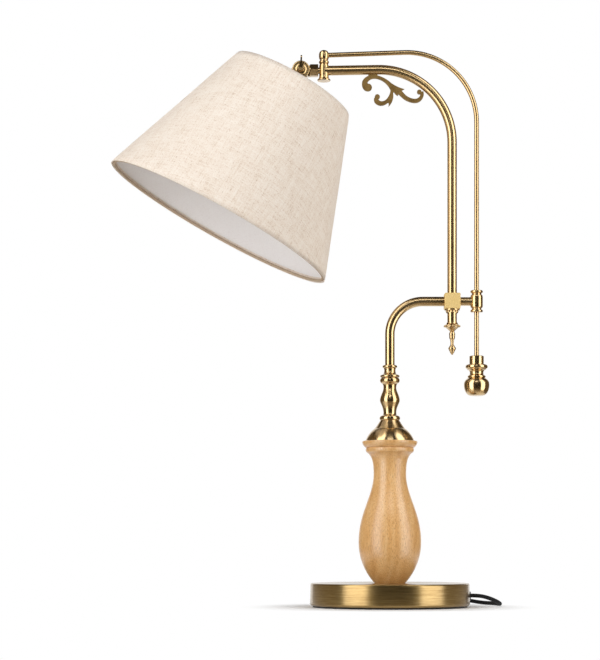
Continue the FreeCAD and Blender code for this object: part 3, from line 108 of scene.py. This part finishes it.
class Shader:
    """A node material under construction, with a Principled surface."""

    def __init__(self, name):
        self.material = bpy.data.materials.new(name)
        self.material.use_nodes = True
        self.tree = self.material.node_tree
        self.tree.nodes.clear()
        self.output = self.tree.nodes.new("ShaderNodeOutputMaterial")
        self.surface = self.node("BsdfPrincipled")
        self.tree.links.new(self.surface.outputs[0], self.output.inputs["Surface"])

    def put(self, socket, value):
        """A link if the value is another node's socket, and a plain value if not."""
        if isinstance(value, bpy.types.NodeSocket):
            self.tree.links.new(value, socket)
        else:
            socket.default_value = value

    def node(self, kind, inputs=None, **settings):
        """A new node with its settings, and its inputs by name or number."""
        made = self.tree.nodes.new("ShaderNode" + kind)
        for name, value in settings.items():
            setattr(made, name, value)
        for name, value in (inputs or {}).items():
            self.put(made.inputs[name], value)
        return made

    def math(self, operation, first, second=0.0):
        return self.node("Math", {0: first, 1: second}, operation=operation).outputs[0]

    def coordinates(self, kind="Object"):
        return self.node("TexCoord").outputs[kind]

    def stretched(self, vector, scale):
        return self.node("VectorMath", {0: vector, 1: scale}, operation="MULTIPLY").outputs[0]

    def noise(self, vector, scale=1.0, detail=2.0, roughness=0.5):
        inputs = {"Vector": vector, "Scale": scale, "Detail": detail, "Roughness": roughness}
        return self.node("TexNoise", inputs).outputs["Fac"]

    def ramp(self, value, stops):
        made = self.node("ValToRGB", {"Fac": value})
        elements = made.color_ramp.elements
        while len(elements) < len(stops):
            elements.new(0.5)
        for element, (place, colour) in zip(elements, stops):
            element.position = place
            element.color = (*colour, 1.0)
        return made.outputs["Color"]

    def spots(self, value, edge, full):
        """0 below the edge of a noise, rising to 1 where it is full."""
        made = self.node("MapRange", {"Value": value, "From Min": edge, "From Max": full})
        return made.outputs["Result"]

    def mix(self, share, first, second):
        made = self.node("Mix", data_type="RGBA")
        self.put(made.inputs["Factor"], share)
        self.put(made.inputs["A"], first if isinstance(first, bpy.types.NodeSocket) else (*first, 1.0))
        self.put(made.inputs["B"], second if isinstance(second, bpy.types.NodeSocket) else (*second, 1.0))
        return made.outputs["Result"]

    def fit(self, value, low, high):
        """A 0 to 1 value, spread between low and high."""
        made = self.node("MapRange", {"Value": value, "To Min": low, "To Max": high})
        return made.outputs["Result"]

    def bump(self, height, strength, distance):
        made = self.node("Bump", {"Height": height, "Strength": strength, "Distance": distance})
        return made.outputs["Normal"]

    def radial_tangent(self):
        """Tangent that runs round the upright axis."""
        return self.node("Tangent", direction_type="RADIAL", axis="Z").outputs[0]

    def finish(self, **values):
        """Set the surface's sockets; an underscore in a name stands for a space."""
        for name, value in values.items():
            self.put(self.surface.inputs[name.replace("_", " ")], value)
        return self.material

    def blend(self, share, other):
        """Replace a share of the surface with another shader node."""
        both = self.node("MixShader", {0: share, 1: self.surface.outputs[0], 2: other.outputs[0]})
        self.tree.links.new(both.outputs[0], self.output.inputs["Surface"])
        return self.material


def srgb(red, green, blue):
    """Linear colour of an sRGB triple from 0 to 255."""
    linear = []
    for value in (red, green, blue):
        share = value / 255
        linear.append(share / 12.92 if share <= 0.04045 else ((share + 0.055) / 1.055) ** 2.4)
    return tuple(linear)


def around(shader):
    """(angle, distance, height) round the lamp's upright axis, as separate sockets."""
    split = shader.node("SeparateXYZ", {"Vector": shader.coordinates()})
    across, back = split.outputs["X"], split.outputs["Y"]
    angle = shader.math("ARCTAN2", back, across)
    squares = [shader.math("MULTIPLY", side, side) for side in (across, back)]
    return angle, shader.math("SQRT", shader.math("ADD", *squares)), split.outputs["Z"]


def joined(shader, x, y, z):
    """One vector from three sockets or numbers."""
    return shader.node("CombineXYZ", {"X": x, "Y": y, "Z": z}).outputs[0]


# ---------------------------------------------------------------- materials

BRASS_LIGHT = srgb(214, 183, 132)
BRASS_DEEP = srgb(198, 166, 113)


def brass(name, low, high):
    """(shader, material) of polished and lacquered brass, with a slow unevenness of tone and gloss."""
    shader = Shader(name)
    cloud = shader.noise(shader.coordinates(), 24.0, 3.0)
    colour = shader.ramp(cloud, [(0.3, BRASS_DEEP), (0.7, BRASS_LIGHT)])
    return shader, shader.finish(Base_Color=colour, Metallic=1.0, Roughness=shader.fit(cloud, low, high),
                                 Coat_Weight=0.8, Coat_Roughness=0.14)


def plain_brass():
    return brass("plain_brass", 0.22, 0.27)[1]


def turned_brass():
    """Brass polished on the lathe: its fine scratches run round the upright axis."""
    shader, material = brass("turned_brass", 0.21, 0.25)
    shader.finish(Anisotropic=0.85, Anisotropic_Rotation=0.25, Tangent=shader.radial_tangent())
    return material


def drawn_brass():
    """Tube and rod bent in the lamp's upright plane, with fine scratches round them."""
    shader, material = brass("drawn_brass", 0.24, 0.28)
    own = {"vector_type": "NORMAL", "convert_from": "WORLD", "convert_to": "OBJECT"}
    normal = shader.node("VectorTransform", {"Vector": shader.node("NewGeometry").outputs["Normal"]}, **own)
    split = shader.node("SeparateXYZ", {"Vector": normal.outputs[0]})
    along = joined(shader, shader.math("MULTIPLY", split.outputs["Z"], -1.0), 0.0, split.outputs["X"])
    back = {"vector_type": "VECTOR", "convert_from": "OBJECT", "convert_to": "WORLD"}
    turned_back = shader.node("VectorTransform", {"Vector": along}, **back).outputs[0]
    tangent = shader.node("VectorMath", {0: turned_back}, operation="NORMALIZE").outputs[0]
    shader.finish(Anisotropic=0.7, Tangent=tangent)
    return material


def matt_brass_painted_bright():
    """Machined block with a fine matt surface; its brass colour is painted paler and less metallic, a painted
    reflection that keeps the front face bright.
    """
    shader = Shader("matt_brass_painted_bright")
    place = shader.coordinates()
    cloud = shader.noise(place, 120.0, 3.0)
    grain = shader.noise(place, 1800.0, 3.0, 0.7)
    # Painted reflection: pale gold tones and low metallic stand in for the bright light the front face
    # mirrors.
    colour = shader.mix(cloud, srgb(238, 204, 130), srgb(250, 220, 152))
    return shader.finish(Base_Color=colour, Metallic=0.35, Roughness=shader.fit(grain, 0.46, 0.6),
                         Normal=shader.bump(grain, 0.2, 0.0001))


def brushed_base():
    """Spun base: brushed round its side and in rings on its top."""
    shader = Shader("brushed_base")
    angle, reach, height = around(shader)
    line = joined(shader, shader.math("MULTIPLY", angle, 3.4), shader.math("MULTIPLY", reach, 900.0),
                  shader.math("MULTIPLY", height, 900.0))
    streak = shader.noise(line, 1.0, 5.0, 0.7)
    cloud = shader.noise(shader.coordinates(), 26.0, 3.0)
    tone = shader.ramp(cloud, [(0.3, srgb(172, 144, 90)), (0.7, srgb(186, 158, 104))])
    colour = shader.mix(shader.spots(streak, 0.35, 0.75), tone, srgb(132, 101, 50))
    return shader.finish(Base_Color=colour, Metallic=1.0, Roughness=shader.fit(streak, 0.28, 0.38),
                         Anisotropic=0.75, Anisotropic_Rotation=0.25, Tangent=shader.radial_tangent(),
                         Coat_Weight=0.6, Coat_Roughness=0.2,
                         Normal=shader.bump(streak, 0.06, 0.0001))


def cast_bronze():
    """Sand-cast scroll with a matt brown lacquer."""
    shader = Shader("cast_bronze")
    place = shader.coordinates()
    grain = shader.noise(place, 1500.0, 3.0, 0.7)
    cloud = shader.noise(place, 120.0, 3.0)
    colour = shader.ramp(cloud, [(0.3, srgb(132, 104, 58)), (0.7, srgb(162, 131, 78))])
    return shader.finish(Base_Color=colour, Metallic=0.8, Roughness=shader.fit(grain, 0.34, 0.5),
                         Normal=shader.bump(grain, 0.2, 0.0002))


def oiled_wood():
    """Pale turned hardwood: quiet long grain, short fine pores and a satin oil finish."""
    shader = Shader("oiled_wood")
    place = shader.coordinates()
    bend = shader.noise(shader.stretched(place, (14.0, 14.0, 2.6)), 1.0, 2.0)
    split = shader.node("SeparateXYZ", {"Vector": place})
    depth = shader.math("ADD", split.outputs["X"], shader.math("MULTIPLY", split.outputs["Y"], 0.55))
    rings = shader.math("ADD", shader.math("MULTIPLY", depth, 420.0), shader.math("MULTIPLY", bend, 30.0))
    band = shader.math("MULTIPLY", shader.math("SINE", rings), 0.035)
    fibre = shader.noise(shader.stretched(place, (1100.0, 1100.0, 60.0)), 1.0, 4.0, 0.65)
    cloud = shader.noise(shader.stretched(place, (60.0, 60.0, 16.0)), 1.0, 3.0)
    blend = shader.math("ADD", shader.math("MULTIPLY", fibre, 0.7), shader.math("MULTIPLY", cloud, 0.3))
    pale, middle, deep = srgb(238, 198, 144), srgb(227, 178, 117), srgb(207, 152, 90)
    tone = shader.ramp(shader.math("ADD", blend, band), [(0.34, pale), (0.5, middle), (0.66, deep)])
    pore = shader.noise(shader.stretched(place, (1500.0, 1500.0, 320.0)), 1.0, 1.0)
    cut = shader.spots(pore, 0.58, 0.68)
    colour = shader.mix(shader.math("MULTIPLY", cut, 0.6), tone, srgb(158, 106, 58))
    height = shader.math("SUBTRACT", shader.math("MULTIPLY", fibre, 0.3), shader.math("MULTIPLY", cut, 0.5))
    return shader.finish(Base_Color=colour, Roughness=shader.fit(fibre, 0.24, 0.34),
                         Specular_IOR_Level=0.75, Normal=shader.bump(height, 0.12, 0.0002))


def thread_field(shader, along, across, pitch, length):
    """Uneven tone of threads a pitch apart that run along one direction of the weave."""
    which = shader.math("FLOOR", shader.math("DIVIDE", across, pitch))
    slow = shader.math("DIVIDE", along, length)
    return shader.noise(joined(shader, shader.math("MULTIPLY", which, 7.31), slow, 0.0), 1.0, 3.0, 0.6)


WEFT_SHARE = 1.15  # pitch of the weft over that of the warp


def woven_linen(name, light, mid, dark, pitch, depth):
    """Plain weave in the cloth's own flat coordinates, with slubs and brown flecks."""
    shader = Shader(name)
    split = shader.node("SeparateXYZ", {"Vector": shader.coordinates("UV")})
    across, along = split.outputs["X"], split.outputs["Y"]
    flat = joined(shader, across, along, 0.0)
    warp = thread_field(shader, along, across, pitch, 0.030)
    weft = thread_field(shader, across, along, pitch * WEFT_SHARE, 0.022)
    cloud = shader.noise(flat, 60.0, 3.0)
    threads = shader.math("MULTIPLY", shader.math("ADD", warp, weft), 0.26)
    speckle = shader.math("MULTIPLY", shader.noise(flat, 640.0, 2.0, 0.7), 0.42)
    share = shader.math("ADD", shader.math("ADD", threads, speckle), shader.math("MULTIPLY", cloud, 0.08))
    tone = shader.ramp(share, [(0.34, dark), (0.47, mid), (0.58, light)])
    fleck = shader.noise(shader.stretched(flat, (560.0, 240.0, 1.0)), 1.0, 2.0)
    spot = shader.spots(fleck, 0.64, 0.74)
    colour = shader.mix(shader.math("MULTIPLY", spot, 0.6), tone, dark)
    turn = 2 * math.pi / pitch
    over = shader.math("SINE", shader.math("MULTIPLY", across, turn))
    under = shader.math("SINE", shader.math("MULTIPLY", along, turn / WEFT_SHARE))
    height = shader.math("ADD", shader.math("MULTIPLY", over, under), shader.math("ADD", warp, weft))
    return shader.finish(Base_Color=colour, Roughness=0.92, Specular_IOR_Level=0.2, Sheen_Weight=0.15,
                         Sheen_Roughness=0.5, Normal=shader.bump(height, 0.5, depth))


def moulded_plastic(name, dark, light, rough):
    """Moulded part with a fine grain."""
    shader = Shader(name)
    place = shader.coordinates()
    grain = shader.noise(place, 2600.0, 2.0)
    cloud = shader.noise(place, 90.0, 2.0)
    return shader.finish(Base_Color=shader.mix(cloud, dark, light),
                         Roughness=shader.fit(grain, rough, rough + 0.14),
                         Normal=shader.bump(grain, 0.12, 0.0001))


def felt():
    """Dark pressed felt under the foot."""
    shader = Shader("felt")
    fibre = shader.noise(shader.coordinates(), 1900.0, 4.0, 0.75)
    colour = shader.ramp(fibre, [(0.35, srgb(26, 26, 28)), (0.7, srgb(52, 52, 56))])
    return shader.finish(Base_Color=colour, Roughness=1.0, Sheen_Weight=0.3,
                         Normal=shader.bump(fibre, 0.5, 0.0003))


def plain_metal(name, dark, light, rough):
    """Turned or rolled metal with fine cloudy wear."""
    shader = Shader(name)
    place = shader.coordinates()
    cloud = shader.noise(place, 260.0, 4.0, 0.6)
    fine = shader.noise(place, 2200.0, 2.0)
    return shader.finish(Base_Color=shader.mix(cloud, dark, light), Metallic=1.0,
                         Roughness=shader.fit(cloud, rough, rough + 0.16),
                         Normal=shader.bump(fine, 0.08, 0.0001))


def white_lacquer():
    """White enamel on the shade's wire ring and spokes."""
    shader = Shader("white_lacquer")
    cloud = shader.noise(shader.coordinates(), 420.0, 3.0)
    colour = shader.mix(cloud, srgb(226, 223, 215), srgb(242, 240, 234))
    return shader.finish(Base_Color=colour, Roughness=shader.fit(cloud, 0.32, 0.5),
                         Normal=shader.bump(cloud, 0.1, 0.0002))


def binding_tape():
    """Natural cotton tape wound round the wire of the shade's lower ring."""
    shader = Shader("binding_tape")
    angle, _, height = around(shader)
    wound = shader.math("ADD", shader.math("MULTIPLY", angle, 90.0), shader.math("MULTIPLY", height, 500.0))
    lap = shader.math("FRACT", shader.math("DIVIDE", wound, 2 * math.pi))
    weave = shader.noise(shader.coordinates(), 1400.0, 2.0, 0.7)
    colour = shader.ramp(weave, [(0.35, srgb(176, 152, 128)), (0.65, srgb(208, 188, 164))])
    return shader.finish(Base_Color=colour, Roughness=0.95, Specular_IOR_Level=0.2,
                         Normal=shader.bump(shader.math("ADD", lap, weave), 0.4, 0.0003))


def opal_glass():
    """Bulb with a soft white coating inside the glass."""
    shader = Shader("opal_glass")
    cloud = shader.noise(shader.coordinates(), 30.0, 2.0)
    colour = shader.mix(cloud, srgb(238, 236, 230), srgb(248, 247, 243))
    return shader.finish(Base_Color=colour, Roughness=shader.fit(cloud, 0.1, 0.18), Coat_Weight=0.5,
                         Coat_Roughness=0.05, Subsurface_Weight=0.2, Subsurface_Scale=0.004)


def braided_sleeve():
    """Black textile sleeve: two sets of threads that cross round the cord."""
    shader = Shader("braided_sleeve")
    split = shader.node("SeparateXYZ", {"Vector": shader.coordinates("UV")})
    run = shader.math("MULTIPLY", split.outputs["X"], CORD_LENGTH / BRAID_PITCH * 2 * math.pi)
    turn = shader.math("MULTIPLY", split.outputs["Y"], 2 * math.pi * BRAID_STRANDS)
    first = shader.math("SINE", shader.math("ADD", run, turn))
    second = shader.math("SINE", shader.math("SUBTRACT", run, turn))
    height = shader.math("MAXIMUM", first, second)
    # Painted shade: the colour darkens where the braid lies low, in the gaps between its crossing threads.
    colour = shader.ramp(shader.fit(height, 0.0, 1.0), [(0.0, srgb(8, 8, 9)), (1.0, srgb(30, 30, 32))])
    return shader.finish(Base_Color=colour, Roughness=0.82, Specular_IOR_Level=0.25, Sheen_Weight=0.05,
                         Normal=shader.bump(height, 0.5, 0.0003))


# ---------------------------------------------------------------- cord

# The cord's route: from the foot's outlet to the switch, the coil and the plug.
TO_SWITCH = [
    OUTLET, (0.1080, 0, 0.0145), (0.1168, 0.0014, 0.0134), (0.1250, 0.0054, 0.0110),
    (0.1320, 0.0117, 0.0082), (0.1374, 0.0200, 0.0056), (0.1408, 0.0296, 0.0036), (0.1420, 0.0400, 0.0026),
    (0.1400, 0.0600, 0.0026), (0.1349, 0.0764, 0.0026), (0.1274, 0.0902, 0.0026), (0.1174, 0.1022, 0.0036),
    (0.1070, 0.1104, 0.0054), (0.0970, 0.1156, 0.0074), (0.0884, 0.1180, 0.0090), (0.0800, 0.1180, 0.0090)]
INSIDE_SWITCH = [(0.0600, 0.1180, 0.0090), (0.0400, 0.1180, 0.0090)]
TO_COIL = [
    (0.0220, 0.1180, 0.0090), (0.0120, 0.1180, 0.0090), (0.0020, 0.1180, 0.0076), (-0.0080, 0.1180, 0.0052),
    (-0.0180, 0.1180, 0.0037), (-0.0280, 0.1180, 0.0035)]
TO_PLUG = [
    (-0.0280, 0.1830, 0.0135), (-0.0160, 0.1830, 0.0129), (-0.0040, 0.1844, 0.0104), (0.0080, 0.1834, 0.0072),
    (0.0190, 0.1814, 0.0064), (0.0285, 0.1800, 0.00685), (0.0360, 0.1800, 0.00685)]


def coil_points():
    """Control points of the wound part, from the outer bottom turn to the outer top one."""
    step = CORD_DIAMETER
    near, mid, far = COIL_RADIUS - step, COIL_RADIUS, COIL_RADIUS + step
    low, centre, high = (COIL_LIFT + step * share for share in (0.5, 1.5, 2.5))
    berths = [(far, low), (far, centre), (mid, centre), (mid, low), (near, low), (near, centre),
              (near, high), (mid, high), (far, high)]
    share = COIL_TURNS / len(berths)
    # A spline of order 3 runs inside its control points: its radius is this share of theirs.
    drawn_in = (3 + math.cos(2 * math.pi / POINTS_PER_TURN)) / 4
    centre_x, centre_y = COIL_CENTRE
    points = []
    for index in range(1, round(COIL_TURNS * POINTS_PER_TURN)):
        turned = index / POINTS_PER_TURN
        place = turned / share
        berth = min(int(place), len(berths) - 1)
        radius, height = berths[berth]
        left = (berth + 1 - place) * share
        if left < COIL_CHANGE and berth + 1 < len(berths):
            done = 1 - left / COIL_CHANGE
            done = done * done * (3 - 2 * done)
            radius += (berths[berth + 1][0] - radius) * done
            height += (berths[berth + 1][1] - height) * done
        angle = math.radians(-90 - 360 * turned)
        reach = radius / drawn_in
        points.append((centre_x + reach * math.cos(angle), centre_y + reach * math.sin(angle), height))
    return points


def make_cord(material):
    """One open spline through the whole route, in place of the solid cord's runs and coil."""
    curve = bpy.data.curves.new("power_cord", "CURVE")
    curve.dimensions = "3D"
    curve.bevel_depth = CORD_DIAMETER / 2
    curve.bevel_resolution = 5
    curve.resolution_u = 6
    spline = curve.splines.new("NURBS")
    route = TO_SWITCH + INSIDE_SWITCH + TO_COIL + coil_points() + TO_PLUG
    spline.points.add(len(route) - 1)
    for point, place in zip(spline.points, route):
        point.co = (*place, 1.0)
    spline.order_u = 3
    spline.use_endpoint_u = True
    cord = bpy.data.objects.new("power_cord", curve)
    bpy.context.scene.collection.objects.link(cord)
    cord.data.materials.append(material)
    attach(cord, "base")
    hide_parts("supply_cord", "coil_feed", "cord_coil", "plug_feed")


# ---------------------------------------------------------------- shade

SLANT = math.hypot(SHADE_TOP - SHADE_LOW, SHADE_LOW_RADIUS - SHADE_TOP_RADIUS)
SPREAD = (SHADE_LOW_RADIUS - SHADE_TOP_RADIUS) / SLANT
SEGMENTS = 288
ROWS = 30


def cone_point(run, inset):
    """(radius, height) on the cone, a run below the top rim and an inset from its outside."""
    rise = math.sqrt(1 - SPREAD ** 2)
    return SHADE_TOP_RADIUS + SPREAD * run - inset * rise, SHADE_TOP - rise * run - inset * SPREAD


def ripple(run, angle, depth):
    """Slight unevenness of the stretched cloth, none at its rims."""
    swell = math.sin(3 * angle + 40 * run) + 0.6 * math.sin(7 * angle + 1.3 + 25 * run)
    return depth * swell * math.sin(math.pi * min(max(run / SLANT, 0), 1))


def skin(name, profile, material, depth=0.0):
    """Cloth turned round the shade's axis from (run, inset) points, with flat-pattern UVs."""
    mesh = bpy.data.meshes.new(name)
    shape = bmesh.new()
    layer = shape.loops.layers.uv.new("flat")
    rows = []
    runs = []
    travelled = profile[0][0]
    for index, (run, inset) in enumerate(profile):
        if index:
            before = Vector(cone_point(*profile[index - 1]))
            travelled += (Vector(cone_point(run, inset)) - before).length
        runs.append(travelled)
        row = []
        for turn in range(SEGMENTS):
            angle = 2 * math.pi * turn / SEGMENTS
            radius, height = cone_point(run, inset)
            radius += ripple(run, angle, depth)
            row.append(shape.verts.new((radius * math.sin(angle), radius * math.cos(angle), height)))
        rows.append(row)
    for index in range(len(rows) - 1):
        for turn in range(SEGMENTS):
            following = (turn + 1) % SEGMENTS
            face = shape.faces.new((rows[index][turn], rows[index + 1][turn], rows[index + 1][following],
                                    rows[index][following]))
            face.smooth = True
            corners = ((index, turn), (index + 1, turn), (index + 1, turn + 1), (index, turn + 1))
            for loop, (line, step) in zip(face.loops, corners):
                sweep = (2 * math.pi * step / SEGMENTS - math.pi) * SPREAD
                reach = SHADE_TOP_RADIUS / SPREAD + runs[line]
                loop[layer].uv = (reach * math.sin(sweep), reach * math.cos(sweep))
    shape.to_mesh(mesh)
    shape.free()
    mesh.transform(Matrix.Translation(TILT_CENTRE) @ Matrix.Rotation(math.radians(SHADE_TILT), 4, "Y"))
    mesh.materials.append(material)
    made = bpy.data.objects.new(name, mesh)
    bpy.context.scene.collection.objects.link(made)
    return made


def make_shade(linen, lining):
    """Linen laminated on a liner: it turns over both rims and ends in a band inside."""
    outside = [(SLANT * row / ROWS, 0.0) for row in range(ROWS + 1)]
    # From the edge of the band inside, up to the rim and over its rounded fold.
    over_top = [(HEM_WIDTH, SHADE_WALL + HEM_FOLD), (0.0012, SHADE_WALL + HEM_FOLD),
                (0.0003, SHADE_WALL + 0.0002), (0.0001, 0.0004)]
    over_low = [(SLANT - run, inset) for run, inset in reversed(over_top)]
    cloth = skin("shade_linen", over_top + outside[1:-1] + over_low, linen, depth=RIPPLE_DEPTH)
    tuck = HEM_WIDTH - HEM_OVERLAP
    inner = [(tuck + (SLANT - 2 * tuck) * row / ROWS, SHADE_WALL) for row in range(ROWS + 1)]
    liner = skin("shade_lining", inner[::-1], lining)
    for piece in (cloth, liner):
        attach(piece, "head")
    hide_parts("shade_shell")


# ---------------------------------------------------------------- studio

def staged(name, corners, material, camera_sees):
    """Flat piece of the studio from its corners."""
    mesh = bpy.data.meshes.new(name)
    mesh.from_pydata(corners, [], [tuple(range(len(corners)))])
    mesh.materials.append(material)
    made = bpy.data.objects.new(name, mesh)
    bpy.context.scene.collection.objects.link(made)
    made.visible_camera = camera_sees


def level(low_x, high_x, low_y, high_y, height):
    """Corners of a level rectangle."""
    return [(low_x, low_y, height), (high_x, low_y, height),
            (high_x, high_y, height), (low_x, high_y, height)]


def pale_floor():
    """White table top that keeps the shadow and fades into the white background."""
    shader = Shader("pale_floor")
    _, reach, _ = around(shader)
    starts, ends = SHADOW_REACH
    fade = shader.node("MapRange", {"Value": reach, "From Min": starts, "From Max": ends},
                       interpolation_type="SMOOTHSTEP")
    cloud = shader.noise(shader.coordinates(), 8.0, 2.0)
    shader.finish(Base_Color=shader.mix(cloud, (0.93, 0.93, 0.93), (0.96, 0.96, 0.96)), Roughness=0.7,
                  Specular_IOR_Level=0.1)
    glow = shader.node("Emission", {"Color": (1.0, 1.0, 1.0, 1.0), "Strength": 1.0})
    rays = shader.node("LightPath")
    mirrored = shader.math("MAXIMUM", rays.outputs["Is Glossy Ray"], rays.outputs["Is Transmission Ray"])
    seen = shader.math("MAXIMUM", rays.outputs["Is Camera Ray"], mirrored)
    return shader.blend(shader.math("MULTIPLY", seen, fade.outputs["Result"]), glow)


def studio_cloth(name, dark, light):
    """Matt cloth or card of the studio, out of the camera's sight."""
    shader = Shader(name)
    cloud = shader.noise(shader.coordinates(), 3.0, 2.0)
    return shader.finish(Base_Color=shader.mix(cloud, dark, light), Roughness=1.0, Specular_IOR_Level=0.0)


def scrim():
    """Brown net that lets a little of the white wall behind it through."""
    shader = Shader("scrim")
    cloud = shader.noise(shader.coordinates(), 3.0, 2.0)
    shader.finish(Base_Color=shader.mix(cloud, (0.05, 0.04, 0.03), (0.07, 0.055, 0.04)), Roughness=1.0,
                  Specular_IOR_Level=0.0)
    through = shader.node("BsdfTransparent", {"Color": (1.0, 0.74, 0.42, 1.0)})
    return shader.blend(0.13, through)


def make_drapes(dark, net):
    """Dark drapes in front of the lamp and over it, nets at the sides, open to the white wall behind."""
    for start in range(-NET_END, NET_END, DRAPE_TURN):
        turns = [math.radians(angle) for angle in (start, start + DRAPE_TURN)]
        left, right = [(ROOM_REACH * math.sin(turn), -ROOM_REACH * math.cos(turn)) for turn in turns]
        corners = [(*left, ROOM_LOW), (*right, ROOM_LOW), (*right, ROOM_HIGH), (*left, ROOM_HIGH)]
        material = dark if abs(start + DRAPE_TURN / 2) < DARK_END else net
        staged(f"drape_{start + NET_END:03d}", corners, material, False)
    staged("drape_over", level(-ROOM_REACH, ROOM_REACH, -ROOM_REACH, ROOM_REACH, ROOM_HIGH), dark, False)


def softbox(name, azimuth, distance, height, width, tall, watts, look):
    """Area light at an azimuth from the camera's side, turned to a height on the lamp's axis."""
    light = bpy.data.lights.new(name, "AREA")
    light.shape = "RECTANGLE"
    light.size = width
    light.size_y = tall
    light.energy = watts
    made = bpy.data.objects.new(name, light)
    bpy.context.scene.collection.objects.link(made)
    angle = math.radians(azimuth)
    made.location = (distance * math.sin(angle), -distance * math.cos(angle), height)
    made.rotation_mode = "QUATERNION"
    made.rotation_quaternion = (made.location - Vector((0, 0, look))).to_track_quat("Z", "Y")


def make_studio():
    """Table top, tan ground, white card, drapes, two tall softboxes, a front strip and a white world."""
    turns = [2 * math.pi * edge / FLOOR_EDGES for edge in range(FLOOR_EDGES)]
    table_edge = [(FLOOR_RADIUS * math.cos(turn), FLOOR_BACK + FLOOR_RADIUS * math.sin(turn), 0.0)
                  for turn in turns]
    staged("floor", table_edge, pale_floor(), True)
    staged("ground", level(-ROOM_REACH, ROOM_REACH, -ROOM_REACH, ROOM_REACH, ROOM_LOW),
           studio_cloth("ground_cloth", (0.54, 0.45, 0.34), (0.58, 0.49, 0.38)), False)
    staged("card", level(-1.6, -0.45, -0.7, 0.6, height=-0.35),
           studio_cloth("white_card", (0.92, 0.92, 0.92), (0.95, 0.95, 0.95)), False)
    make_drapes(studio_cloth("dark_cloth", (0.034, 0.027, 0.02), (0.05, 0.04, 0.03)), scrim())
    tall_box = {"distance": 1.6, "height": 1.15, "width": 1.1, "tall": 4.1, "look": 1.0}
    softbox("left_softbox", azimuth=-52, watts=45, **tall_box)
    softbox("right_softbox", azimuth=59, watts=41, **tall_box)
    softbox("front_strip", azimuth=0, distance=1.3, height=1.32, width=0.7, tall=0.3, watts=2.4, look=0.5)
    world = bpy.data.worlds.new("white_wall")
    bpy.context.scene.world = world
    world.use_nodes = True
    background = world.node_tree.nodes["Background"]
    background.inputs["Color"].default_value = (1.0, 1.0, 1.0, 1.0)
    background.inputs["Strength"].default_value = 1.0
    bpy.context.scene.view_settings.view_transform = "Standard"


# ---------------------------------------------------------------- everything together

make_camera()
make_cord(braided_sleeve())
shade_weave = woven_linen("shade_weave", light=srgb(249, 239, 227), mid=srgb(239, 224, 208),
                          dark=srgb(196, 168, 140), pitch=0.0014, depth=0.0003)
lining_weave = woven_linen("lining_weave", light=srgb(251, 248, 247), mid=srgb(248, 244, 243),
                           dark=srgb(238, 233, 231), pitch=0.0006, depth=0.0001)
make_shade(shade_weave, lining_weave)

by_slot = {
    "felt": felt(),
    "base_metal": brushed_base(),
    "iron": plain_metal("raw_iron", srgb(52, 50, 49), srgb(82, 79, 76), 0.55),
    "steel": plain_metal("zinc_steel", srgb(150, 150, 152), srgb(196, 196, 198), 0.25),
    "oak": oiled_wood(),
    "aged_brass": plain_brass(),
    "dark_bronze": cast_bronze(),
    "moulding": moulded_plastic("black_moulding", srgb(22, 22, 23), srgb(32, 32, 33), 0.36),
    "thread_shell": plain_metal("thread_metal", srgb(176, 172, 160), srgb(210, 206, 194), 0.2),
    "opal_glass": opal_glass(),
    "white_wire": white_lacquer(),
    "flex": moulded_plastic("inner_flex", srgb(28, 28, 29), srgb(40, 40, 41), 0.5),
}
drawn_pieces = ["gooseneck", "main_arm", "guide_link", "balance_rod"]
turned_pieces = ["bell_cap", "column_neck", "swivel_collar", "rod_guide", "counterweight", "tail_collar",
                 "tail_tube", "finial_cup", "finial_drop", "arm_post"]
own_finish = {"cross_block": matt_brass_painted_bright(), "shade_bottom_ring": binding_tape()}
own_finish.update(dict.fromkeys(drawn_pieces, drawn_brass()))
own_finish.update(dict.fromkeys(turned_pieces, turned_brass()))
slot_of = {row["node"]: row["material_slot"] for row in frame["record"]["subparts"]}
for name, piece in nodes.items():
    slot = slot_of[name]
    if slot in by_slot:
        piece.data.materials.clear()
        piece.data.materials.append(own_finish.get(name, by_slot[slot]))

make_studio()
